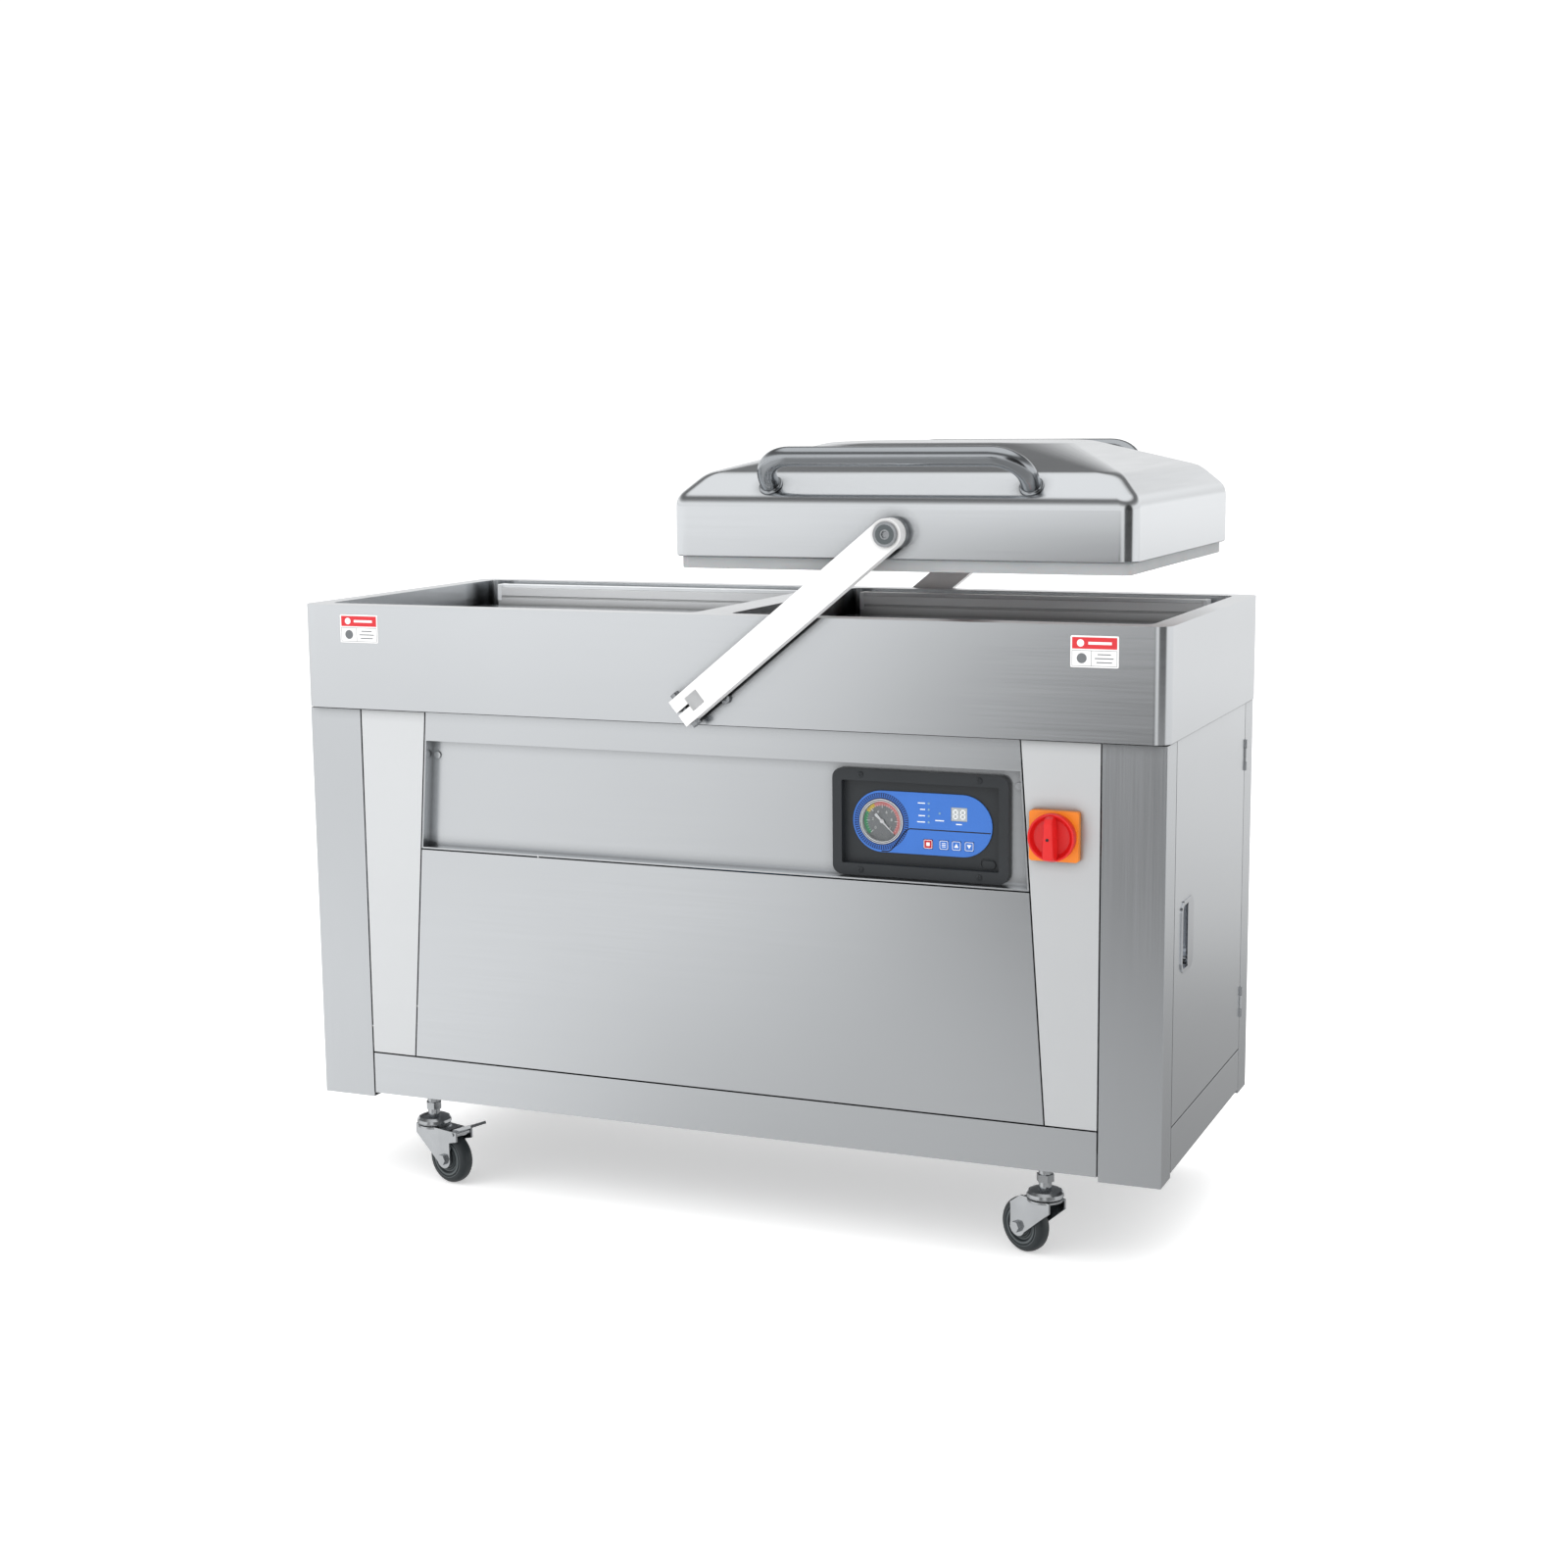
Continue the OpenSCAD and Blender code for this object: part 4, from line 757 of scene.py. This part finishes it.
# plain dashes beside the lamps, under the lamp on its own and under the display
lamps_low, lamps_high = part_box("status_lamps")
display_at = centre("display")
lamp_r, dash_w = 1.5 * MM, 1.3 * MM
dash_lengths = (11, 9, 7, 10)
lamp_pitch = (lamps_high.z - lamps_low.z - 2 * lamp_r) / (len(dash_lengths) - 1)
dash_end = lamps_low.x + lamp_r - 5 * MM
dashes = []
for k, length in enumerate(dash_lengths):
    z = lamps_low.z + lamp_r + k * lamp_pitch
    dashes.append(slab(bar_outline(dash_end - length * MM, z, dash_end, z, dash_w), fascia_y, PRINT))
for x, drop, half in ((lamps_high.x - lamp_r, 9.5 * MM, 6 * MM), (display_at.x, 13 * MM, 4 * MM)):
    z = display_at.z - drop
    dashes.append(slab(bar_outline(x - half, z, x + half, z, dash_w), fascia_y, PRINT))
print_group("fascia_marks_print", "print_white", dashes)

# two seven-segment digits; a segment's ends are in half widths and quarter heights
SEGMENTS = (((-1, 2), (1, 2)), ((1, 2), (1, 0)), ((1, 0), (1, -2)), ((1, -2), (-1, -2)),
            ((-1, -2), (-1, 0)), ((-1, 0), (-1, 2)), ((-1, 0), (1, 0)))


def digit(cx, cz, half_w, half_h, width, y):
    strokes = []
    for (x0, z0), (x1, z1) in SEGMENTS:
        a = Vector((cx + x0 * half_w, cz + z0 * half_h / 2))
        b = Vector((cx + x1 * half_w, cz + z1 * half_h / 2))
        gap = (b - a).normalized() * width * 0.55
        strokes.append(slab(bar_outline(*(a + gap), *(b - gap), width), y, PRINT))
    return strokes


display_low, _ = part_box("display")
digits = []
for offset in (-5, 5):
    digits += digit(display_at.x + offset * MM, display_at.z, 2.6 * MM, 5.6 * MM, 1.3 * MM,
                    display_low.y - FILM)
print_group("display_digits_print", "print_white", digits)

# ---- vacuum gauge: dial plate, coloured scale, ticks and needle ----

case_low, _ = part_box("gauge_case")
dial_y = case_low.y + 6 * MM
dial_r = 26.9 * MM
print_group("dial_plate", "print_dial", [slab(disc_outline(gx, gz, dial_r), dial_y - 0.3 * MM,
                                              0.28 * MM)])
# the scale runs clockwise from the lower left; a band's ends are fractions of the scale
SCALE_START, SCALE_SWEEP = 225, -270
BANDS = (("print_green", 0.0, 0.28), ("print_yellow", 0.28, 0.4), ("print_pink", 0.4, 1.0))


def dial_band(start, end):
    """Part of the coloured scale, in short pieces that stay flat."""
    steps = 36
    arc = sector(gx, gz, 20.6 * MM, 25.6 * MM, SCALE_START + SCALE_SWEEP * start,
                 SCALE_START + SCALE_SWEEP * end, steps)
    return [slab([arc[k], arc[k + 1], arc[-2 - k], arc[-1 - k]], dial_y - 0.45 * MM, 0.2 * MM)
            for k in range(steps)]


def dial_ticks():
    """Marks of the scale, every fifth one longer and wider."""
    divisions = 30
    ticks = []
    for k in range(divisions + 1):
        a = math.radians(SCALE_START + SCALE_SWEEP * k / divisions)
        long = k % 5 == 0
        r0, r1 = (17.4 if long else 20.2) * MM, 22.4 * MM
        ticks.append(slab(bar_outline(gx + r0 * math.cos(a), gz + r0 * math.sin(a),
                                      gx + r1 * math.cos(a), gz + r1 * math.sin(a),
                                      (0.7 if long else 0.4) * MM), dial_y - 0.6 * MM, 0.2 * MM))
    return ticks


for slot, start, end in BANDS:
    print_group("dial_band_" + slot.removeprefix("print_"), slot, dial_band(start, end))
# grey over the front of the rim, a painted dark reflection, so that only its edges shine
rim = slab(disc_outline(gx, gz, 29.3 * MM), case_low.y - FILM, PRINT,
           disc_outline(gx, gz, 27.6 * MM))
print_group("gauge_rim_painted_reflection", "grey_print_and_painted_rim_reflection", [rim])
print_group("dial_ticks", "print_white", dial_ticks())


def dial_number(text, angle, radius, size):
    """One numeral of the dial, as a closed mesh."""
    curve = bpy.data.curves.new("numeral", "FONT")
    curve.body = text
    curve.size = size
    curve.extrude = 0.06 * MM
    curve.align_x = "CENTER"
    curve.align_y = "CENTER"
    item = bpy.data.objects.new("numeral", curve)
    bpy.context.scene.collection.objects.link(item)
    mesh = bpy.data.meshes.new_from_object(item.evaluated_get(
        bpy.context.evaluated_depsgraph_get()))
    bpy.data.objects.remove(item)
    a = math.radians(angle)
    return placed(mesh, facing_front(gx + radius * math.cos(a), dial_y - 0.5 * MM,
                                     gz + radius * math.sin(a)))


# even numbers from 0 to 10
numerals = [dial_number(str(2 * k), SCALE_START + SCALE_SWEEP * k / 5, 13.2 * MM, 5.2 * MM)
            for k in range(6)]
print_group("dial_numerals", "print_white", numerals)


def needle_mesh():
    """A slim needle with a counterweight tail and a turned hub, pointing to the lower right."""
    low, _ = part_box("gauge_needle")
    front_y, thick = low.y + 0.1 * MM, 0.5 * MM
    blade = slab([(-13 * MM, -1.7 * MM), (-11 * MM, -2.1 * MM), (-2 * MM, -1.2 * MM),
                  (0, -1.4 * MM), (21.6 * MM, -0.25 * MM), (21.6 * MM, 0.25 * MM), (0, 1.4 * MM),
                  (-2 * MM, 1.2 * MM), (-11 * MM, 2.1 * MM), (-13 * MM, 1.7 * MM)], 0, thick)
    turned = Matrix.Translation((gx, front_y, gz)) @ Matrix.Rotation(math.radians(45), 4, "Y")
    placed(blade, turned)
    hub = lathe("hub", [(0, 0.9 * MM), (1.6 * MM, 0.8 * MM), (2.8 * MM, 0.3 * MM), (3 * MM, -0.9 * MM),
                        (0, -0.9 * MM)], 48)
    placed(hub, facing_front(gx, front_y + 0.3 * MM, gz))
    return joined("gauge_needle_skin", [blade, hub])


add_piece("gauge_needle_skin", needle_mesh(), "needle", "gauge_white", ("gauge_needle",))

# ---- rim labels: red header band and two outlined cells, with no words ----

labels_low, labels_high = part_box("rim_labels")
label_y = labels_low.y - FILM
label_w = 62 * MM
label_z = (labels_low.z + labels_high.z) / 2
header_z, header_h = label_z + 10.6 * MM, 14.4 * MM
cell_z = label_z - 8.4 * MM
half_w, half_h, divide = 28.8 * MM, 9.6 * MM, -4 * MM
red_bands, dark_lines, pale_marks = [], [], []
for cx in (labels_low.x + label_w / 2, labels_high.x - label_w / 2):
    red_bands.append(slab(box_outline(cx, header_z, label_w - 4.4 * MM, header_h), label_y, PRINT))
    for x0, x1, z0, z1 in ((-half_w, half_w, -half_h, -half_h), (-half_w, half_w, half_h, half_h),
                           (-half_w, -half_w, -half_h, half_h), (half_w, half_w, -half_h, half_h),
                           (divide, divide, -half_h, half_h)):
        dark_lines.append(slab(bar_outline(cx + x0, cell_z + z0, cx + x1, cell_z + z1, 0.5 * MM),
                               label_y, PRINT))
    dark_lines.append(slab(disc_outline(cx - 16.4 * MM, cell_z, 6.4 * MM), label_y, PRINT))
    for k, length in enumerate((17, 24, 20)):
        x, z = cx + 12.5 * MM, cell_z + (5 - 5 * k) * MM
        half = length / 2 * MM
        dark_lines.append(slab(bar_outline(x - half, z, x + half, z, 1.3 * MM), label_y, PRINT))
    pale_marks.append(slab(disc_outline(cx - 18 * MM, header_z, 4.6 * MM), label_y - FILM, PRINT))
    pale_marks.append(slab(bar_outline(cx - 8 * MM, header_z, cx + 22 * MM, header_z, 3.4 * MM),
                           label_y - FILM, PRINT))
print_group("label_header_print", "print_red", red_bands)
print_group("label_line_print", "grey_print_and_painted_rim_reflection", dark_lines)
print_group("label_mark_print", "print_white", pale_marks)

# ---- screws of the bezel, blank plug and pivot washers ----

def screw_mesh(radius, height, slot_w):
    """A low domed head with a cross recess."""
    profile = filleted([(0, height, 0), (radius * 0.55, height * 0.95, 0),
                        (radius * 0.9, height * 0.55, 0),
                        (radius, 0, 0), (radius, -height * 0.4, 0), (0, -height * 0.4, 0)],
                       height * 0.2, 3)
    head = lathe("screw", [(p.x, p.y) for p in profile], 48)
    item = bpy.data.objects.new("screw", head)
    bpy.context.scene.collection.objects.link(item)
    cutters = []
    for turn in (0, 90):
        bm = bmesh.new()
        bmesh.ops.create_cube(bm, size=1.0, matrix=Matrix.Rotation(math.radians(turn), 4, "Z")
                              @ Matrix.Translation((0, 0, height))
                              @ Matrix.Diagonal((radius * 1.1, slot_w, height, 1)))
        cutter_mesh = bpy.data.meshes.new("cutter")
        bm.to_mesh(cutter_mesh)
        bm.free()
        cutter = bpy.data.objects.new("cutter", cutter_mesh)
        bpy.context.scene.collection.objects.link(cutter)
        cutters.append(cutter)
        cut = item.modifiers.new("cut", "BOOLEAN")
        cut.operation = "DIFFERENCE"
        cut.object = cutter
        cut.solver = "EXACT"
    mesh = bpy.data.meshes.new_from_object(item.evaluated_get(
        bpy.context.evaluated_depsgraph_get()))
    for extra in cutters + [item]:
        bpy.data.objects.remove(extra)
    return mesh


bezel_low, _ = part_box("control_bezel")
bezel_at = centre("control_bezel")
heads = []
for x in (-82, 82):
    for z in (-63.5, 63.5):
        heads.append(placed(screw_mesh(4.2 * MM, 1.8 * MM, MM),
                            facing_front(bezel_at.x + x * MM, bezel_low.y + MM,
                                         bezel_at.z + z * MM)))
add_piece("bezel_screw_heads", joined("bezel_screw_heads", heads), "cabinet", "black_plastic")

# blank plug at the foot of the control housing
plug = joined("housing_plug", [
    slab(box_outline(fascia_high.x - 5 * MM, fascia_low.z - 8 * MM, 18 * MM, 10.5 * MM, 5 * MM),
         fascia_high.y - 1.2 * MM, 1.3 * MM)])
add_piece("housing_plug", plug, "cabinet", "black_plastic")

# dark dished washers round the hexagons of the lid's pivot pins
pin_low, pin_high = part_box("pivot_pins")
for name, y, out in (("front", pin_low.y, -1), ("rear", pin_high.y, 1)):
    washer = lathe("pivot_washer_" + name, ring_profile(6.4 * MM, 12.5 * MM, -0.3 * MM, 0.35 * MM,
                                                        0.2 * MM), 72, closed=True)
    placed(washer, frame_at(Vector(((pin_low.x + pin_high.x) / 2, y,
                                    (pin_low.z + pin_high.z) / 2)), Vector((0, out, 0))))
    add_piece("pivot_washer_" + name, washer, "lid", "hub_highlight_and_washer_grey")

# ---- sealing bars: cover over the heating strip, and end caps ----

def strip_cover(low, high):
    """The pale strip along the top of a bar."""
    middle = (low + high) / 2
    cover = ring_of((high.x - low.x) / 2 - 3 * MM, 7.4 * MM, 1.0 * MM, 0)
    rings = [[p + Vector((middle.x, middle.y, z)) for p in cover]
             for z in (high.z - 4.8 * MM, high.z - 0.5 * MM)]
    rings.append([Vector((middle.x + p.x * 0.998, middle.y + p.y * 0.9, high.z + 0.2 * MM))
                  for p in cover])
    return loft("strip", rings)


def end_caps(low, high):
    """A pale block on each end of a bar."""
    caps = []
    for x in (low.x + 2.8 * MM, high.x - 2.8 * MM):
        block = ring_of(3.4 * MM, (high.y - low.y) / 2 + 0.6 * MM, 1.2 * MM, 0)
        stack = [[p * k + Vector((x, (low.y + high.y) / 2, z)) for p in block]
                 for k, z in ((0.9, high.z - 26 * MM), (1, high.z - 25 * MM),
                              (1, high.z - 0.4 * MM), (0.9, high.z + 0.3 * MM))]
        caps.append(loft("cap", stack))
    return joined("caps", caps)


for side in ("left", "right"):
    for end in ("front", "rear"):
        place = f"{side}_{end}"
        low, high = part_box("bar_" + place)
        add_piece("seal_strip_" + place, strip_cover(low, high), "seal_" + place, "gauge_white")
        add_piece("seal_end_caps_" + place, end_caps(low, high), "seal_" + place, "gauge_white")


# ---- floor, light and camera ----

def studio_floor():
    """Plain pale paper that no reflection sees."""
    bm = bmesh.new()
    bmesh.ops.create_grid(bm, x_segments=1, y_segments=1, size=14)
    mesh = bpy.data.meshes.new("studio_floor")
    bm.to_mesh(mesh)
    bm.free()
    item = bpy.data.objects.new("studio_floor", mesh)
    bpy.context.scene.collection.objects.link(item)
    paper = Recipe("floor_paper", (0.93, 0.93, 0.93), 0.9)
    paper.vary_colour(paper.noise((1, 1, 1), 1.5, 2.0), 0.99, 1.0)
    paper.shader.inputs["Emission Color"].default_value = (1, 1, 1, 1)
    paper.shader.inputs["Emission Strength"].default_value = 0.4
    mesh.materials.append(paper.material)
    item.visible_glossy = False


def area_light(name, position, aim, size, power):
    """A softbox that lights the scene and leaves no reflection."""
    data = bpy.data.lights.new(name, "AREA")
    data.shape = "RECTANGLE"
    data.size, data.size_y = size
    data.energy = power
    item = bpy.data.objects.new(name, data)
    bpy.context.scene.collection.objects.link(item)
    item.location = position
    item.rotation_mode = "QUATERNION"
    item.rotation_quaternion = (Vector(aim) - Vector(position)).to_track_quat("-Z", "Y")
    item.visible_glossy = False


def ramp(tree, source, stops):
    """A grey ramp from (position, value) stops."""
    made = tree.nodes.new("ShaderNodeValToRGB")
    made.color_ramp.interpolation = "EASE"
    elements = made.color_ramp.elements
    ends = [elements[0], elements[1]]
    for element, (position, value) in zip(ends, (stops[0], stops[-1])):
        element.position = position
        element.color = (value, value, value, 1)
    for position, value in stops[1:-1]:
        elements.new(position).color = (value, value, value, 1)
    tree.links.new(source, made.inputs["Fac"])
    return made.outputs["Color"]


def studio_world():
    """White all round, while reflections see a graded studio: bright to the left, dimmer low
    down, with a dim band high up and a black flag on the right, just under the horizon and above."""
    world = bpy.data.worlds.new("studio")
    bpy.context.scene.world = world
    world.use_nodes = True
    tree = world.node_tree
    tree.nodes.clear()

    def maths(operation, a, b):
        made = tree.nodes.new("ShaderNodeMath")
        made.operation = operation
        for socket, value in zip(made.inputs, (a, b)):
            if isinstance(value, (int, float)):
                socket.default_value = value
            else:
                tree.links.new(value, socket)
        return made.outputs[0]

    def blend(factor, a, b):
        made = tree.nodes.new("ShaderNodeMix")
        made.data_type = "RGBA"
        for socket, value in zip(("Factor", "A", "B"), (factor, a, b)):
            tree.links.new(value, made.inputs[socket])
        return made.outputs["Result"]

    def product(a, b):
        made = tree.nodes.new("ShaderNodeMix")
        made.data_type = "RGBA"
        made.blend_type = "MULTIPLY"
        made.inputs["Factor"].default_value = 1.0
        tree.links.new(a, made.inputs["A"])
        tree.links.new(b, made.inputs["B"])
        return made.outputs["Result"]

    place = tree.nodes.new("ShaderNodeTexCoord")
    axes = tree.nodes.new("ShaderNodeSeparateXYZ")
    tree.links.new(place.outputs["Generated"], axes.inputs[0])
    x, y, z = axes.outputs
    # ramps read 0 to 1: the horizon is at height 0.5, straight ahead and behind at leftward 0.5
    leftward = maths("SUBTRACT", 0.5, x)
    height = maths("ADD", z, 0.5)
    upper = ramp(tree, leftward, ((0.1, 0.85), (0.3, 0.75), (0.44, 0.6), (0.57, 0.05), (0.72, 0.03),
                                  (0.77, 0.1), (0.81, 0.36), (0.88, 0.97), (1.0, 0.9)))
    lower = ramp(tree, leftward, ((0.3, 0.5), (0.7, 0.45), (0.76, 0.62), (0.82, 0.6), (0.9, 0.46),
                                  (0.96, 0.74), (1.0, 0.95)))
    deep = ramp(tree, height, ((0.1, 0.7), (0.2, 0.95), (0.25, 1.0)))
    fore = product(blend(ramp(tree, height, ((0.22, 0.0), (0.31, 1.0))), lower, upper), deep)
    aft = ramp(tree, height, ((0.05, 0.5), (0.18, 0.3), (0.25, 0.37), (0.3, 0.62), (0.35, 0.95),
                               (0.42, 0.8)))
    low = blend(ramp(tree, maths("SUBTRACT", 0.5, y), ((0.4, 0.0), (0.75, 1.0))), aft, fore)
    high = ramp(tree, z, ((0.0, 1.0), (0.06, 0.8), (0.22, 0.95), (0.3, 0.7), (0.42, 0.3),
                          (0.54, 0.16), (0.68, 0.14), (0.76, 0.55), (0.84, 0.9)))
    above = ramp(tree, height, ((0.415, 0.0), (0.455, 1.0)))
    beside = maths("SUBTRACT", maths("MULTIPLY", x, 0.766), maths("MULTIPLY", y, 0.643))
    # the flag fades out low down, where only steeper views would meet it
    low_down = ramp(tree, height, ((0.3, 1.0), (0.4, 0.0)))
    flag = blend(low_down, ramp(tree, beside, ((0.84, 1.0), (0.92, 0.03))), low_down)
    studio = tree.nodes.new("ShaderNodeBackground")
    tree.links.new(product(blend(above, low, high), flag), studio.inputs["Color"])
    white = tree.nodes.new("ShaderNodeBackground")
    white.inputs["Color"].default_value = (1, 1, 1, 1)
    white.inputs["Strength"].default_value = 1.12
    seen = tree.nodes.new("ShaderNodeLightPath")
    choose = tree.nodes.new("ShaderNodeMixShader")
    tree.links.new(seen.outputs["Is Glossy Ray"], choose.inputs[0])
    tree.links.new(white.outputs[0], choose.inputs[1])
    tree.links.new(studio.outputs[0], choose.inputs[2])
    output = tree.nodes.new("ShaderNodeOutputWorld")
    tree.links.new(choose.outputs[0], output.inputs[0])


def studio_camera():
    """The photograph's view: from the operator's right, a little above the lid."""
    data = bpy.data.cameras.new("camera")
    data.sensor_width = 36
    data.lens = 54.62
    item = bpy.data.objects.new("camera", data)
    bpy.context.scene.collection.objects.link(item)
    item.location = (1.3195, -3.1279, 1.1142)
    item.rotation_euler = [math.radians(a) for a in (80.992, 0.556, 22.731)]
    bpy.context.scene.camera = item


studio_floor()
studio_world()
studio_camera()
area_light("key_softbox", (-2.6, -3.0, 3.4), (0, 0, 0.6), (2.4, 2.4), 30)
area_light("top_softbox", (0.3, 0.2, 3.8), (0, 0, 0), (3.2, 3.2), 30)
bpy.context.scene.view_settings.view_transform = "Standard"
